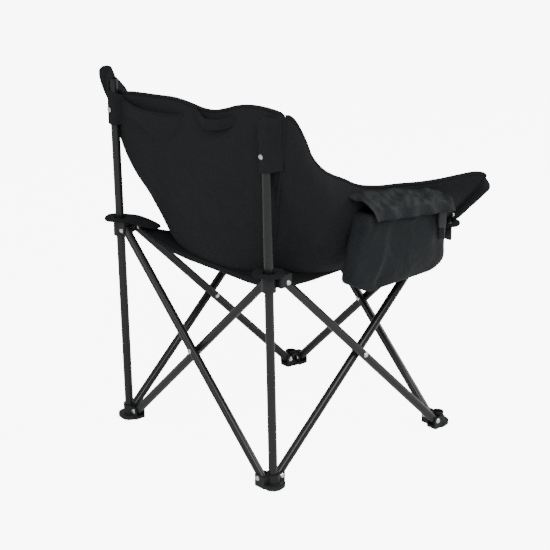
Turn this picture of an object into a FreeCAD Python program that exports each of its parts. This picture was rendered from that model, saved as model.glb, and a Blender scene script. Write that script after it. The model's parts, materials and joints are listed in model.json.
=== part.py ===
"""Folding camp chair with a padded bucket sling: a parametric document, in millimetres.

The chair faces -Y, so the sitter's right hand is on the -X side. Z is up from the floor.
Four crossed pairs of tubes join four feet to four hubs. The two rear hubs slide up the rear
posts as the chair folds, and the two front tubes run on past their hubs as the arms.
"""

import FreeCAD, Part

import math
import os

from FreeCAD import Placement, Rotation, Vector

os.makedirs("parts", exist_ok=True)

doc = FreeCAD.newDocument("camp_chair")
sheet = doc.addObject("Spreadsheet::Sheet", "Sizes")

DRIVING_SIZES = {
    "corner_spacing": 526,      # between corner axes, the same across and from front to back
    "rear_corner_y": 263,       # the rear corner axes stand this far behind the origin
    "tube_diameter": 20,
    "tube_wall": 1,
    "pin_offset": 23,           # from a corner axis in to the pins of its two wings
    "plane_gap": 21,            # between the planes of two crossing tubes
    "plane_shift": 3,           # the front and rear planes stand this far outside the corners
    "foot_pin_height": 24,
    "hub_pin_height": 488,
    "tube_overhang": 6,         # a tube runs this far past its end pin
    "arm_reach": 184,           # a front tube runs this far past its hub pin
    "post_slope": 0.026,        # the rear posts lean back this much for each unit of height
    "post_bottom": 9,
    "post_top": 846,
    "rivet_diameter": 6,
    "rivet_clearance": 0.15,
    "rivet_head": 12,
    "wing_width": 28,
    "slot_width": 21.4,
    "slot_reach": 13,           # clear room round each pin for the end of its tube
    "wing_end": 9,              # a wing runs this far past its pin
    "barrel_diameter": 29,
    "foot_height": 36,
    "foot_diameter": 54,
    "hub_below_pin": 18,
    "hub_above_pin": 20,
    "socket_clearance": 0.8,
    "slide_clearance": 1.5,
    "webbing": 4,
}


def fill_sheet():
    """Writes the driving sizes as plain numbers, with their names as aliases."""
    for row, (alias, value) in enumerate(DRIVING_SIZES.items(), start=1):
        cell = "B%d" % row
        sheet.set("A%d" % row, alias)
        sheet.set(cell, str(value))
        sheet.setAlias(cell, alias)
    doc.recompute()


def size(alias):
    """One driving size from the sheet."""
    return float(sheet.get(alias))


fill_sheet()

# ---------------------------------------------------------------- derived places

SIDE_X = size("corner_spacing") / 2
REAR_Y = size("rear_corner_y")
FRONT_Y = REAR_Y - size("corner_spacing")
HALF_GAP = size("plane_gap") / 2
REAR_PLANE = REAR_Y + size("plane_shift")
FRONT_PLANE = FRONT_Y - size("plane_shift")
FOOT_Z = size("foot_pin_height")
HUB_Z = size("hub_pin_height")
PIN_SPAN = size("corner_spacing") - 2 * size("pin_offset")
TUBE_RUN = math.hypot(PIN_SPAN, HUB_Z - FOOT_Z)
POST_TILT = math.degrees(math.atan(size("post_slope")))
POST_TURN = Rotation(Vector(1, 0, 0), -POST_TILT)

# Sides of the chair: -1 is the sitter's right or the front, +1 the sitter's left or the rear.
RIGHT, LEFT = -1, 1
FRONT, REAR = -1, 1

CORNERS = {
    "rear_right": (RIGHT, REAR),
    "rear_left": (LEFT, REAR),
    "front_left": (LEFT, FRONT),
    "front_right": (RIGHT, FRONT),
}

# The planes that the tubes lie in: "outer" is the plane further from the chair's middle.
ACROSS_PLANES = {
    (REAR, "outer"): REAR_PLANE + HALF_GAP,
    (REAR, "inner"): REAR_PLANE - HALF_GAP,
    (FRONT, "outer"): FRONT_PLANE - HALF_GAP,
    (FRONT, "inner"): FRONT_PLANE + HALF_GAP,
}
ALONG_PLANES = {
    (side, layer): side * (SIDE_X + (HALF_GAP if layer == "outer" else -HALF_GAP))
    for side in (RIGHT, LEFT)
    for layer in ("outer", "inner")
}

# Which layer the tube at each corner lies in: (foot across, foot along, hub across, hub along).
LAYERS = {
    "rear_right": ("outer", "inner", "inner", "outer"),
    "rear_left": ("inner", "outer", "outer", "inner"),
    "front_left": ("outer", "inner", "inner", "outer"),
    "front_right": ("inner", "outer", "outer", "inner"),
}


def corner_xy(corner):
    """The corner axis in plan."""
    side, end = CORNERS[corner]
    return side * SIDE_X, (REAR_Y if end == REAR else FRONT_Y)


def across_pin(corner, at_hub):
    """The end pin of the tube that runs across the chair from this corner: its axis is Y."""
    side, end = CORNERS[corner]
    layer = LAYERS[corner][2 if at_hub else 0]
    x = side * (SIDE_X - size("pin_offset"))
    return Vector(x, ACROSS_PLANES[(end, layer)], HUB_Z if at_hub else FOOT_Z)


def along_pin(corner, at_hub):
    """The end pin of the tube that runs front to back from this corner: its axis is X."""
    side, end = CORNERS[corner]
    layer = LAYERS[corner][3 if at_hub else 1]
    y = corner_xy(corner)[1] - end * size("pin_offset")
    return Vector(ALONG_PLANES[(side, layer)], y, HUB_Z if at_hub else FOOT_Z)


def post_y(height):
    """The y of a rear post's axis at a height."""
    return REAR_Y + size("post_slope") * height


# ---------------------------------------------------------------- small helpers

ALONG_X = Rotation(Vector(0, 1, 0), 90)
ALONG_Y = Rotation(Vector(1, 0, 0), -90)
UPRIGHT = Rotation()


def cylinder(name, diameter, height, place, turn=UPRIGHT):
    """A Part::Cylinder; diameter and height are expressions, place is the middle of its low end."""
    shape = doc.addObject("Part::Cylinder", name)
    shape.setExpression("Radius", "(%s) / 2" % diameter)
    shape.setExpression("Height", height)
    shape.Placement = Placement(place, turn)
    return shape


def bar(name, diameter, height, middle, turn):
    """A Part::Cylinder that reaches the same way each side of its middle."""
    shape = cylinder(name, diameter, height, middle, turn)
    doc.recompute([shape])
    half = turn.multVec(Vector(0, 0, shape.Height.Value / 2))
    shape.Placement = Placement(middle - half, turn)
    return shape


def block(name, low, high):
    """A Part::Box between two corners."""
    shape = doc.addObject("Part::Box", name)
    shape.Length, shape.Width, shape.Height = (abs(high[i] - low[i]) for i in range(3))
    shape.Placement.Base = Vector(*(min(low[i], high[i]) for i in range(3)))
    return shape


def fuse(name, shapes):
    """A Part::MultiFuse."""
    joined = doc.addObject("Part::MultiFuse", name)
    joined.Shapes = shapes
    return joined


def cut(name, base, tools):
    """Takes the tools from the base one after another, each with a Part::Cut."""
    remaining = base
    for number, tool in enumerate(tools):
        last = number == len(tools) - 1
        taken = doc.addObject("Part::Cut", name if last else "%s_cut_%d" % (name, number))
        taken.Base = remaining
        taken.Tool = tool
        remaining = taken
    return remaining


NODES = []


def node(label, shape):
    """Names a finished sub-part. Its label is the name of its file."""
    shape.Label = label
    NODES.append(shape)
    return shape


def fixed_shape(label, solid):
    """A sub-part whose shape is a loft or cut that no parametric feature gives as simply."""
    feature = doc.addObject("Part::Feature", label)
    feature.Shape = solid
    feature.Placement = Placement()
    return node(label, feature)


def loft(sections):
    """A straight-sided solid through closed rings of points."""
    wires = [Part.makePolygon([Vector(*p) for p in ring] + [Vector(*ring[0])]) for ring in sections]
    return Part.makeLoft(wires, True, True)


# ---------------------------------------------------------------- tubes and posts


def hollow_tube(label, length, holes, place, turn, hole_axis):
    """A round tube along its own Z with cross holes at given heights."""
    outer = cylinder(label + "_outside", "Sizes.tube_diameter", length, Vector())
    bore = cylinder(label + "_bore", "Sizes.tube_diameter - 2 * Sizes.tube_wall", length, Vector())
    drills = [bore]
    for number, height in enumerate(holes):
        drill = cylinder(
            "%s_hole_%d" % (label, number),
            "Sizes.rivet_diameter + 2 * Sizes.rivet_clearance",
            "2 * Sizes.tube_diameter",
            Vector(0, 0, height) - hole_axis.multVec(Vector(0, 0, size("tube_diameter"))),
            hole_axis,
        )
        drills.append(drill)
    tube = cut(label, outer, drills)
    tube.Placement = Placement(place, turn)
    return node(label, tube)


ARM_RIVET_PAST_HUB = 72


def cross_tube(label, foot_pin, hub_pin, reach):
    """A tube from a foot pin up to a hub pin, which runs on past the hub by its reach."""
    run = hub_pin - foot_pin
    across = abs(run.x) > abs(run.y)
    overhang = size("tube_overhang")
    length = "%.6f + Sizes.tube_overhang + Sizes.%s" % (TUBE_RUN, reach or "tube_overhang")
    turn = Rotation(Vector(0, 0, 1), run)
    start = foot_pin - run.normalize() * overhang
    holes = [overhang, overhang + TUBE_RUN / 2, overhang + TUBE_RUN]
    if reach:
        holes.append(overhang + TUBE_RUN + ARM_RIVET_PAST_HUB)
    return hollow_tube(label, length, holes, start, turn, ALONG_Y if across else ALONG_X)


TUBES = {
    "rear_tube_outer": ("rear_right", "rear_left", True, None),
    "rear_tube_inner": ("rear_left", "rear_right", True, None),
    "right_tube_inner": ("rear_right", "front_right", False, None),
    "right_tube_outer": ("front_right", "rear_right", False, None),
    "left_tube_outer": ("rear_left", "front_left", False, None),
    "left_tube_inner": ("front_left", "rear_left", False, None),
    "front_tube_left_arm": ("front_right", "front_left", True, "arm_reach"),
    "front_tube_right_arm": ("front_left", "front_right", True, "arm_reach"),
}

for tube_label, (foot_corner, hub_corner, runs_across, arm) in TUBES.items():
    pin_of = across_pin if runs_across else along_pin
    cross_tube(tube_label, pin_of(foot_corner, False), pin_of(hub_corner, True), arm)

SLEEVE_RIVET_Z = 775
for side, post_label in ((RIGHT, "post_right"), (LEFT, "post_left")):
    bottom = Vector(side * SIDE_X, post_y(size("post_bottom")), size("post_bottom"))
    hollow_tube(
        post_label,
        "Sizes.post_top - Sizes.post_bottom",
        [SLEEVE_RIVET_Z - size("post_bottom")],
        bottom,
        POST_TURN,
        ALONG_Y,
    )

# ---------------------------------------------------------------- feet and hubs


SLOT_OPEN = 60
HEAD_ROOM = "8"
PIN_DIAMETER = "Sizes.rivet_diameter + 0.1"
TREAD = 6
PAD_HEIGHT = 8
WING_ABOVE_PIN = 9          # foot wings reach this far above their pins, hub wings below them


def wing(name, corner, pin, along_x, low, high):
    """A clevis wing from a corner axis out to its pin and a little past it, between two heights."""
    half = size("wing_width") / 2
    x, y = corner_xy(corner)
    side, end = CORNERS[corner]
    if along_x:
        tip = pin.x - side * size("wing_end")
        web = block(name + "_web", (x, pin.y - half, low), (pin.x, pin.y + half, high))
        nose = block(name + "_nose", (pin.x, pin.y - half, low), (tip, pin.y + half, high))
    else:
        tip = pin.y - end * size("wing_end")
        web = block(name + "_web", (pin.x - half, y, low), (pin.x + half, pin.y, high))
        nose = block(name + "_nose", (pin.x - half, pin.y, low), (pin.x + half, tip, high))
    return [web, nose]


def slot(name, corner, pin, along_x, upwards):
    """The room between a wing's two ears, open towards its tube."""
    half = size("slot_width") / 2
    reach = size("slot_reach")
    far = SLOT_OPEN
    closed = pin.z - reach if upwards else pin.z + reach
    open_end = pin.z + far if upwards else pin.z - far
    if along_x:
        inward = -CORNERS[corner][0]
        low = (pin.x - inward * reach, pin.y - half, closed)
        high = (pin.x + inward * far, pin.y + half, open_end)
    else:
        inward = -CORNERS[corner][1]
        low = (pin.x - half, pin.y - inward * reach, closed)
        high = (pin.x + half, pin.y + inward * far, open_end)
    return block(name, low, high)


def pin_hole(name, pin, along_x):
    """The hole through both ears for a rivet, with room for its heads."""
    turn = ALONG_Y if along_x else ALONG_X
    hole = bar(name, PIN_DIAMETER, "2 * Sizes.wing_width", pin, turn)
    rooms = []
    for number, way in enumerate((-1, 1)):
        inner_end = turn.multVec(Vector(0, 0, way * size("wing_width") / 2))
        facing = turn if way > 0 else turn * Rotation(Vector(1, 0, 0), 180)
        room = "%s_head_room_%d" % (name, number)
        rooms.append(cylinder(room, "Sizes.rivet_head + 1", HEAD_ROOM, pin + inner_end, facing))
    return [hole] + rooms


def foot(corner):
    """A moulded foot: a rounded pad, a socket for the post and a clevis wing each way."""
    name = "foot_" + corner
    x, y = corner_xy(corner)
    pins = [(across_pin(corner, False), True), (along_pin(corner, False), False)]
    socket_y = post_y(size("foot_height") * 0.6) if CORNERS[corner][1] == REAR else y
    base = doc.addObject("Part::Cone", name + "_tread")
    base.setExpression("Radius1", "Sizes.foot_diameter / 2 - 7")
    base.setExpression("Radius2", "Sizes.foot_diameter / 2")
    base.Height = TREAD
    base.Placement.Base = Vector(x, y, 0)
    above_tread = Vector(x, y, TREAD)
    pad = cylinder(name + "_pad", "Sizes.foot_diameter", "%d" % PAD_HEIGHT, above_tread)
    barrel_height = "Sizes.foot_height - %d" % TREAD
    barrel = cylinder(name + "_barrel", "Sizes.barrel_diameter", barrel_height, above_tread)
    solids = [base, pad, barrel]
    tools = []
    for number, (pin, along_x) in enumerate(pins):
        wing_name = "%s_wing_%d" % (name, number)
        solids += wing(wing_name, corner, pin, along_x, TREAD - 2, FOOT_Z + WING_ABOVE_PIN)
        tools.append(slot("%s_slot_%d" % (name, number), corner, pin, along_x, True))
        tools += pin_hole("%s_pin_hole_%d" % (name, number), pin, along_x)
    socket = cylinder(
        name + "_socket",
        "Sizes.tube_diameter + 2 * Sizes.socket_clearance",
        "Sizes.foot_height",
        Vector(x, socket_y, size("post_bottom") - 0.5),
    )
    tools.append(socket)
    return node(name, cut(name, fuse(name + "_solid", solids), tools))


def rear_hub(corner):
    """A moulded hub that slides on its post, with a clevis wing each way."""
    name = "hub_" + corner
    x = corner_xy(corner)[0]
    low = HUB_Z - size("hub_below_pin")
    high = HUB_Z + size("hub_above_pin")
    middle = (low + high) / 2
    barrel = cylinder(
        name + "_barrel",
        "Sizes.barrel_diameter + 3",
        "Sizes.hub_below_pin + Sizes.hub_above_pin",
        Vector(x, post_y(HUB_Z), low),
    )
    solids = [barrel]
    tools = []
    pins = [(across_pin(corner, True), True), (along_pin(corner, True), False)]
    for number, (pin, along_x) in enumerate(pins):
        wing_name = "%s_wing_%d" % (name, number)
        solids += wing(wing_name, corner, pin, along_x, HUB_Z - WING_ABOVE_PIN, high)
        tools.append(slot("%s_slot_%d" % (name, number), corner, pin, along_x, False))
        tools += pin_hole("%s_pin_hole_%d" % (name, number), pin, along_x)
    bore = bar(
        name + "_bore",
        "Sizes.tube_diameter + 2 * Sizes.slide_clearance",
        "4 * (Sizes.hub_below_pin + Sizes.hub_above_pin)",
        Vector(x, post_y(middle), middle),
        POST_TURN,
    )
    tools.append(bore)
    return node(name, cut(name, fuse(name + "_solid", solids), tools))


PLATE = 6
PLATE_GAP = 0.4


def front_hub(corner):
    """A moulded bracket beside the arm tube: a plate on the tube's inner side and one clevis wing."""
    name = "hub_" + corner
    side = CORNERS[corner][0]
    x = corner_xy(corner)[0]
    arm_pin = across_pin(corner, True)
    leg_pin = along_pin(corner, True)
    low = HUB_Z - size("hub_below_pin") + 4
    high = HUB_Z + size("hub_above_pin")
    face = arm_pin.y + size("tube_diameter") / 2 + PLATE_GAP
    outside = side * (SIDE_X + 25)
    inside = arm_pin.x - side * 12
    plate = block(name + "_plate", (inside, face, low), (outside, face + PLATE, high))
    half = size("wing_width") / 2
    inner_end = leg_pin.y + size("wing_end")
    ears = block(
        name + "_ears",
        (leg_pin.x - half, face, HUB_Z - WING_ABOVE_PIN),
        (leg_pin.x + half, inner_end, high),
    )
    tools = [slot(name + "_slot", corner, leg_pin, False, False)]
    tools += pin_hole(name + "_leg_hole", leg_pin, False)
    tools.append(bar(name + "_arm_hole", PIN_DIAMETER, "60", arm_pin, ALONG_Y))
    head_place = Vector(arm_pin.x, face + PLATE, arm_pin.z)
    tools.append(cylinder(name + "_head_room", "Sizes.rivet_head + 1", HEAD_ROOM, head_place, ALONG_Y))
    return node(name, cut(name, fuse(name + "_solid", [plate, ears]), tools))


for corner_name, (_, corner_end) in CORNERS.items():
    foot(corner_name)
    if corner_end == REAR:
        rear_hub(corner_name)
    else:
        front_hub(corner_name)

# ---------------------------------------------------------------- rivets and washers

HEAD_HEIGHT = 2.2
HEAD_GAP = 0.2


def rivet_shapes(name, middle, turn, grip):
    """A rivet along its turned Z, with a flat round head on each end of its grip."""
    head_spread = turn.multVec(Vector(0, 0, grip / 2 + HEAD_GAP))
    head_depth = turn.multVec(Vector(0, 0, HEAD_HEIGHT))
    length = "%.4f" % (grip + 2 * HEAD_GAP)
    shank = cylinder(name + "_shank", "Sizes.rivet_diameter", length, middle - head_spread, turn)
    upper = doc.addObject("Part::Cone", name + "_upper_head")
    lower = doc.addObject("Part::Cone", name + "_lower_head")
    for head, wide, narrow in ((upper, "Radius1", "Radius2"), (lower, "Radius2", "Radius1")):
        head.setExpression(wide, "Sizes.rivet_head / 2")
        head.setExpression(narrow, "Sizes.rivet_head / 2 - 2")
        head.Height = HEAD_HEIGHT
    upper.Placement = Placement(middle + head_spread, turn)
    lower.Placement = Placement(middle - head_spread - head_depth, turn)
    return fuse(name + "_rivet", [shank, upper, lower])


def rivets(label, places):
    """A node of rivets: each place is a middle, a turn and a grip."""
    made = [rivet_shapes("%s_%d" % (label, i), *place) for i, place in enumerate(places)]
    if len(made) == 1:
        return node(label, made[0])
    group = doc.addObject("Part::Compound", label)
    group.Links = made
    return node(label, group)


WING_GRIP = size("wing_width")
TUBE_GRIP = size("plane_gap") + size("tube_diameter")
PLATE_GRIP = size("tube_diameter") + PLATE_GAP + PLATE

for corner_name, (_, corner_end) in CORNERS.items():
    rivets(
        "foot_rivets_" + corner_name,
        [
            (across_pin(corner_name, False), ALONG_Y, WING_GRIP),
            (along_pin(corner_name, False), ALONG_X, WING_GRIP),
        ],
    )
    hub_across = (across_pin(corner_name, True), ALONG_Y, WING_GRIP)
    if corner_end == FRONT:
        plate_middle = across_pin(corner_name, True) + Vector(0, (PLATE + PLATE_GAP) / 2, 0)
        hub_across = (plate_middle, ALONG_Y, PLATE_GRIP)
    hub_along = (along_pin(corner_name, True), ALONG_X, WING_GRIP)
    rivets("hub_rivets_" + corner_name, [hub_across, hub_along])

CROSS_Z = (FOOT_Z + HUB_Z) / 2
MIDDLE_Y = (REAR_Y + FRONT_Y) / 2
CROSSINGS = {
    "rear": (Vector(0, REAR_PLANE, CROSS_Z), ALONG_Y),
    "front": (Vector(0, FRONT_PLANE, CROSS_Z), ALONG_Y),
    "right": (Vector(RIGHT * SIDE_X, MIDDLE_Y, CROSS_Z), ALONG_X),
    "left": (Vector(LEFT * SIDE_X, MIDDLE_Y, CROSS_Z), ALONG_X),
}
WASHER = 0.6
for face_name, (crossing, crossing_turn) in CROSSINGS.items():
    rivets("crossing_rivet_" + face_name, [(crossing, crossing_turn, TUBE_GRIP)])
    name = "washer_" + face_name
    disc_size, hole_size = "Sizes.rivet_head + 3", "Sizes.rivet_diameter + 0.4"
    disc = bar(name + "_disc", disc_size, "%.2f" % WASHER, crossing, crossing_turn)
    hole = bar(name + "_hole", hole_size, "Sizes.tube_diameter", crossing, crossing_turn)
    node(name, cut(name, disc, [hole]))

# ---------------------------------------------------------------- sling: back, sides and seat

BACK_RINGS = (
    # height, half width, and how far the rear face stands in front of the rear corner axes
    (472, 158, 38),
    (600, 205, 17),
    (728, 252, 0),
    (752, 280, -2),
    (866, 285, -5),
)
BACK_TOP_MIDDLE = 828
BACK_TOP_CORNER = 866
BACK_PAD = 22


def back_panel():
    """The padded back: narrow at the seat, wide at the posts, its top edge dipping to the middle."""
    rings = []
    for height, half_width, inset in BACK_RINGS:
        rear_face = REAR_Y - inset
        front_face = rear_face - BACK_PAD
        rings.append(
            [
                (-half_width, front_face, height),
                (half_width, front_face, height),
                (half_width, rear_face, height),
                (-half_width, rear_face, height),
            ]
        )
    right_half = [(-170, 1000), (-210, BACK_TOP_CORNER + 1), (-120, 850), (0, BACK_TOP_MIDDLE)]
    dip = right_half + [(-x, z) for x, z in reversed(right_half[:-1])]
    front, rear = REAR_Y - 60, REAR_Y + 60
    dip_tool = loft([[(x, front, z) for x, z in dip], [(x, rear, z) for x, z in dip]])
    return fixed_shape("back_panel", loft(rings).cut(dip_tool))


SIDE_RINGS = (
    # outer top and outer bottom points, rear end first: half width, y and height
    ((267, REAR_Y - 22, 836), (184, REAR_Y - 64, 474)),
    ((279, REAR_Y - 112, 716), (204, REAR_Y - 130, 472)),
    ((303, REAR_Y - 210, 662), (212, REAR_Y - 210, 474)),
    ((331, REAR_Y - 360, 648), (222, REAR_Y - 360, 482)),
    ((362, REAR_Y - 504, 652), (246, REAR_Y - 488, 536)),
)
SIDE_PAD = 20


def side_panel(label, side):
    """A padded side that runs from the back, down and forward to the arm."""
    rings = []
    for top, bottom in SIDE_RINGS:
        outer_top, outer_bottom = [(side * p[0], p[1], p[2]) for p in (top, bottom)]
        inner_top = (outer_top[0] - side * SIDE_PAD, outer_top[1], outer_top[2])
        inner_bottom = (outer_bottom[0] - side * SIDE_PAD, outer_bottom[1], outer_bottom[2])
        rings.append([outer_top, outer_bottom, inner_bottom, inner_top])
    return fixed_shape(label, loft(rings))


SEAT_RINGS = (
    # y, half width, height of the top at the edge, height of the top at the middle
    (REAR_Y - 46, 178, 468, 458),
    (REAR_Y - 140, 196, 462, 448),
    (MIDDLE_Y, 200, 462, 444),
)
SEAT_PAD = 36
SEAT_GAP = 0.5


def seat_half(label, rings):
    """Half of the hung seat, hollowed from side to side."""
    sections = []
    for y, half_width, edge, middle in rings:
        shoulder = edge - 0.65 * (edge - middle)
        right_half = [(-half_width, edge), (-half_width / 2, shoulder), (0, middle)]
        top = right_half + [(-x, z) for x, z in reversed(right_half[:-1])]
        under = [(x, z - SEAT_PAD) for x, z in reversed(top)]
        sections.append([(x, y, z) for x, z in top + under])
    return fixed_shape(label, loft(sections))


back_panel()
side_panel("side_panel_right", RIGHT)
side_panel("side_panel_left", LEFT)
rear_rings = [SEAT_RINGS[0], SEAT_RINGS[1], (MIDDLE_Y + SEAT_GAP,) + SEAT_RINGS[2][1:]]
front_rings = [
    (MIDDLE_Y - SEAT_GAP,) + SEAT_RINGS[2][1:],
    (2 * MIDDLE_Y - SEAT_RINGS[1][0], 200, 466, 450),
    (REAR_Y - 498, 196, 482, 468),
]
seat_half("seat_rear", rear_rings)
seat_half("seat_front", front_rings)

# ---------------------------------------------------------------- sleeves, arm pockets, corner tabs

SLEEVE_LOW = 738
SLEEVE_HIGH = 860
SLEEVE_HALF_WIDTH = 30
SLEEVE_FACE = REAR_Y + 6
SLEEVE_GRIP = 29


def sleeve_rivet_middle(side):
    """Where a sleeve's rivet crosses the axis of its post."""
    bottom = Vector(side * SIDE_X, post_y(size("post_bottom")), size("post_bottom"))
    return bottom + POST_TURN.multVec(Vector(0, 0, SLEEVE_RIVET_Z - size("post_bottom")))


def post_sleeve(label, side):
    """The fabric pocket behind the back that holds the top of a post."""
    x = side * SIDE_X
    front = SLEEVE_FACE
    rear = SLEEVE_FACE + SLEEVE_GRIP
    box = Part.makeBox(
        2 * SLEEVE_HALF_WIDTH,
        rear - front,
        SLEEVE_HIGH - SLEEVE_LOW,
        Vector(x - SLEEVE_HALF_WIDTH, front, SLEEVE_LOW),
    )
    radius = size("tube_diameter") / 2 + 0.4
    axis = Vector(0, size("post_slope"), 1)
    low = size("post_top") - 200
    length = (size("post_top") + 0.6 - low) * axis.Length
    post_room = Part.makeCylinder(radius, length, Vector(x, post_y(low), low), axis)
    through = (POST_TURN * ALONG_Y).multVec(Vector(0, 0, 40))
    rivet_room = Part.makeCylinder(
        size("rivet_diameter") / 2 + 0.1,
        80,
        sleeve_rivet_middle(side) - through,
        through,
    )
    return fixed_shape(label, box.cut(post_room).cut(rivet_room))


for side, side_name in ((RIGHT, "right"), (LEFT, "left")):
    post_sleeve("post_sleeve_" + side_name, side)
    through_post = POST_TURN * ALONG_Y
    to_middle = SLEEVE_FACE + SLEEVE_GRIP / 2 - sleeve_rivet_middle(side).y
    rivet_middle = sleeve_rivet_middle(side) + through_post.multVec(Vector(0, 0, to_middle))
    rivets("sleeve_rivet_" + side_name, [(rivet_middle, through_post, SLEEVE_GRIP + 0.8)])

POCKET_START = 56
POCKET_END = 202
POCKET_HALF_DEPTH = 14
POCKET_HALF_HEIGHT = 20


def arm_pocket(label, corner):
    """The fabric pocket at the end of an arm, over the tip of its tube."""
    pin = across_pin(corner, True)
    side = CORNERS[corner][0]
    run = Vector(side * PIN_SPAN, 0, HUB_Z - FOOT_Z).normalize()
    lift = Vector(-run.z * side, 0, abs(run.x))
    rings = []
    for distance, half_height in ((POCKET_START, 16), (150, POCKET_HALF_HEIGHT), (POCKET_END, 14)):
        middle = pin + run * distance
        ring = []
        for rise, depth in ((-1, -1), (1, -1), (1, 1), (-1, 1)):
            point = middle + lift * (rise * half_height) + Vector(0, depth * POCKET_HALF_DEPTH, 0)
            ring.append((point.x, point.y, point.z))
        rings.append(ring)
    room = Part.makeCylinder(size("tube_diameter") / 2 + 0.4, size("arm_reach") + 1, pin, run)
    hole = Part.makeCylinder(
        size("rivet_diameter") / 2 + 0.1,
        80,
        pin + run * ARM_RIVET_PAST_HUB - Vector(0, 40, 0),
        Vector(0, 1, 0),
    )
    return fixed_shape(label, loft(rings).cut(room).cut(hole))


for corner_name, side_name in (("front_right", "right"), ("front_left", "left")):
    arm_pocket("arm_pocket_" + side_name, corner_name)
    arm_pin = across_pin(corner_name, True)
    arm_run = Vector(CORNERS[corner_name][0] * PIN_SPAN, 0, HUB_Z - FOOT_Z).normalize()
    rivets(
        "arm_rivet_" + side_name,
        [(arm_pin + arm_run * ARM_RIVET_PAST_HUB, ALONG_Y, 2 * POCKET_HALF_DEPTH)],
    )

TAB_RADIUS = 34
TAB_WIDTH = 50


def sketch_on(body, plane_role, name):
    """A sketch on one of the body's own origin planes."""
    plane = [p for p in body.Origin.OriginFeatures if p.Role == plane_role][0]
    sketch = body.newObject("Sketcher::SketchObject", name)
    sketch.AttachmentSupport = [(plane, "")]
    sketch.MapMode = "FlatFace"
    return sketch


def corner_tab(corner):
    """The doubled webbing tab at a seat corner: a flat tongue with a hole, lying on its hub."""
    name = "corner_tab_" + corner
    side, end = CORNERS[corner]
    level = HUB_Z + size("hub_above_pin") + 0.6
    if end == REAR:
        middle_of_hole = Vector(side * SIDE_X, post_y(level), level)
        hole_radius = 13
    else:
        arm = across_pin(corner, True)
        rise = level + size("webbing") / 2 - arm.z
        middle_of_hole = Vector(arm.x + side * rise * PIN_SPAN / (HUB_Z - FOOT_Z), arm.y, level)
        hole_radius = 17.5
    body = doc.addObject("PartDesign::Body", name)
    outline = sketch_on(body, "XY_Plane", name + "_outline")
    half = TAB_WIDTH / 2
    tongue = 92 if end == REAR else 56
    outline.addGeometry(Part.LineSegment(Vector(0, -half), Vector(tongue, -half)), False)
    outline.addGeometry(Part.LineSegment(Vector(tongue, -half), Vector(tongue, half)), False)
    outline.addGeometry(Part.LineSegment(Vector(tongue, half), Vector(0, half)), False)
    outline.addGeometry(Part.Arc(Vector(0, half), Vector(-TAB_RADIUS, 0), Vector(0, -half)), False)
    pad = body.newObject("PartDesign::Pad", name + "_pad")
    pad.Profile = outline
    pad.setExpression("Length", "Sizes.webbing")
    hole = sketch_on(body, "XY_Plane", name + "_hole")
    hole.addGeometry(Part.Circle(Vector(), Vector(0, 0, 1), hole_radius), False)
    pocket = body.newObject("PartDesign::Pocket", name + "_pocket")
    pocket.Profile = hole
    pocket.Type = 1
    pocket.Midplane = True
    doc.recompute()
    body.Tip = pocket
    inward = math.degrees(math.atan2(-end, -side))
    body.Placement = Placement(middle_of_hole, Rotation(Vector(0, 0, 1), inward))
    return node(name, body)


for corner_name in CORNERS:
    corner_tab(corner_name)

# ---------------------------------------------------------------- handle, back pocket and cooler bag

HANDLE_MIDDLE_X = -97
HANDLE_HALF = 78
HANDLE_LOW = 790
HANDLE_HIGH = 816
HANDLE_FACE = REAR_Y + 5


def grab_handle():
    """A webbing handle behind the top edge of the back, bowed out from it."""
    left = HANDLE_MIDDLE_X - HANDLE_HALF
    right = HANDLE_MIDDLE_X + HANDLE_HALF
    thick = size("webbing")
    bow = 18
    plan = [
        (left, 0),
        (left + 16, 0),
        (left + 34, bow),
        (right - 34, bow),
        (right - 16, 0),
        (right, 0),
        (right, thick),
        (right - 12, thick),
        (right - 30, bow + thick),
        (left + 30, bow + thick),
        (left + 12, thick),
        (left, thick),
    ]
    rings = [[(x, HANDLE_FACE + y, z) for x, y in plan] for z in (HANDLE_LOW, HANDLE_HIGH)]
    return fixed_shape("grab_handle", loft(rings))


grab_handle()


# Each is (low x, high x, near y, far y, height), the y from the pocket's place on the back.
POCKET_Y = REAR_Y + 6
POCKET_OUTSIDE = ((30, 214, -3.5, 2.5, 716), (18, 226, -0.6, 24, 806))
POCKET_INSIDE = ((36, 208, -1.5, 1, 722), (21, 223, 2, 21, 806.5))


def rectangle(low_x, high_x, near, far, height):
    """A level rectangle at the pocket's place."""
    near_y, far_y = POCKET_Y + near, POCKET_Y + far
    corners = ((low_x, near_y), (high_x, near_y), (high_x, far_y), (low_x, far_y))
    return [(x, y, height) for x, y in corners]


def back_pocket():
    """A flat fabric pocket on the rear of the back, its mouth sagging open."""
    sizes = (POCKET_OUTSIDE, POCKET_INSIDE)
    outer, inner = (loft([rectangle(*bottom), rectangle(*mouth)]) for bottom, mouth in sizes)
    return fixed_shape("back_pocket", outer.cut(inner))


BAG_REAR = REAR_Y - 160
BAG_FRONT = REAR_Y - 416
BAG_BOTTOM = (446, 462)     # rear and front
BAG_TOP = (622, 606)
BAG_INNER = (-296, -318)
BAG_DEPTH = 64
BAG_WALL = 4


def bag_ring(end, inset, top_extra):
    """A cross-section of the bag at its rear (0) or front (1) end, set in by a wall."""
    y = (BAG_REAR, BAG_FRONT)[end] + (-inset if end == 0 else inset)
    low = BAG_BOTTOM[end] + inset
    high = BAG_TOP[end] + top_extra
    near = BAG_INNER[end] - inset
    away = BAG_INNER[end] - BAG_DEPTH + inset
    return [(near, y, low), (near, y, high), (away, y, high), (away, y, low)]


def cooler_bag():
    """The insulated bag that hangs outside the right arm, open at the top."""
    outer = loft([bag_ring(0, 0, 0), bag_ring(1, 0, 0)])
    inner = loft([bag_ring(0, BAG_WALL, 1), bag_ring(1, BAG_WALL, 1)])
    return fixed_shape("cooler_bag", outer.cut(inner))


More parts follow.
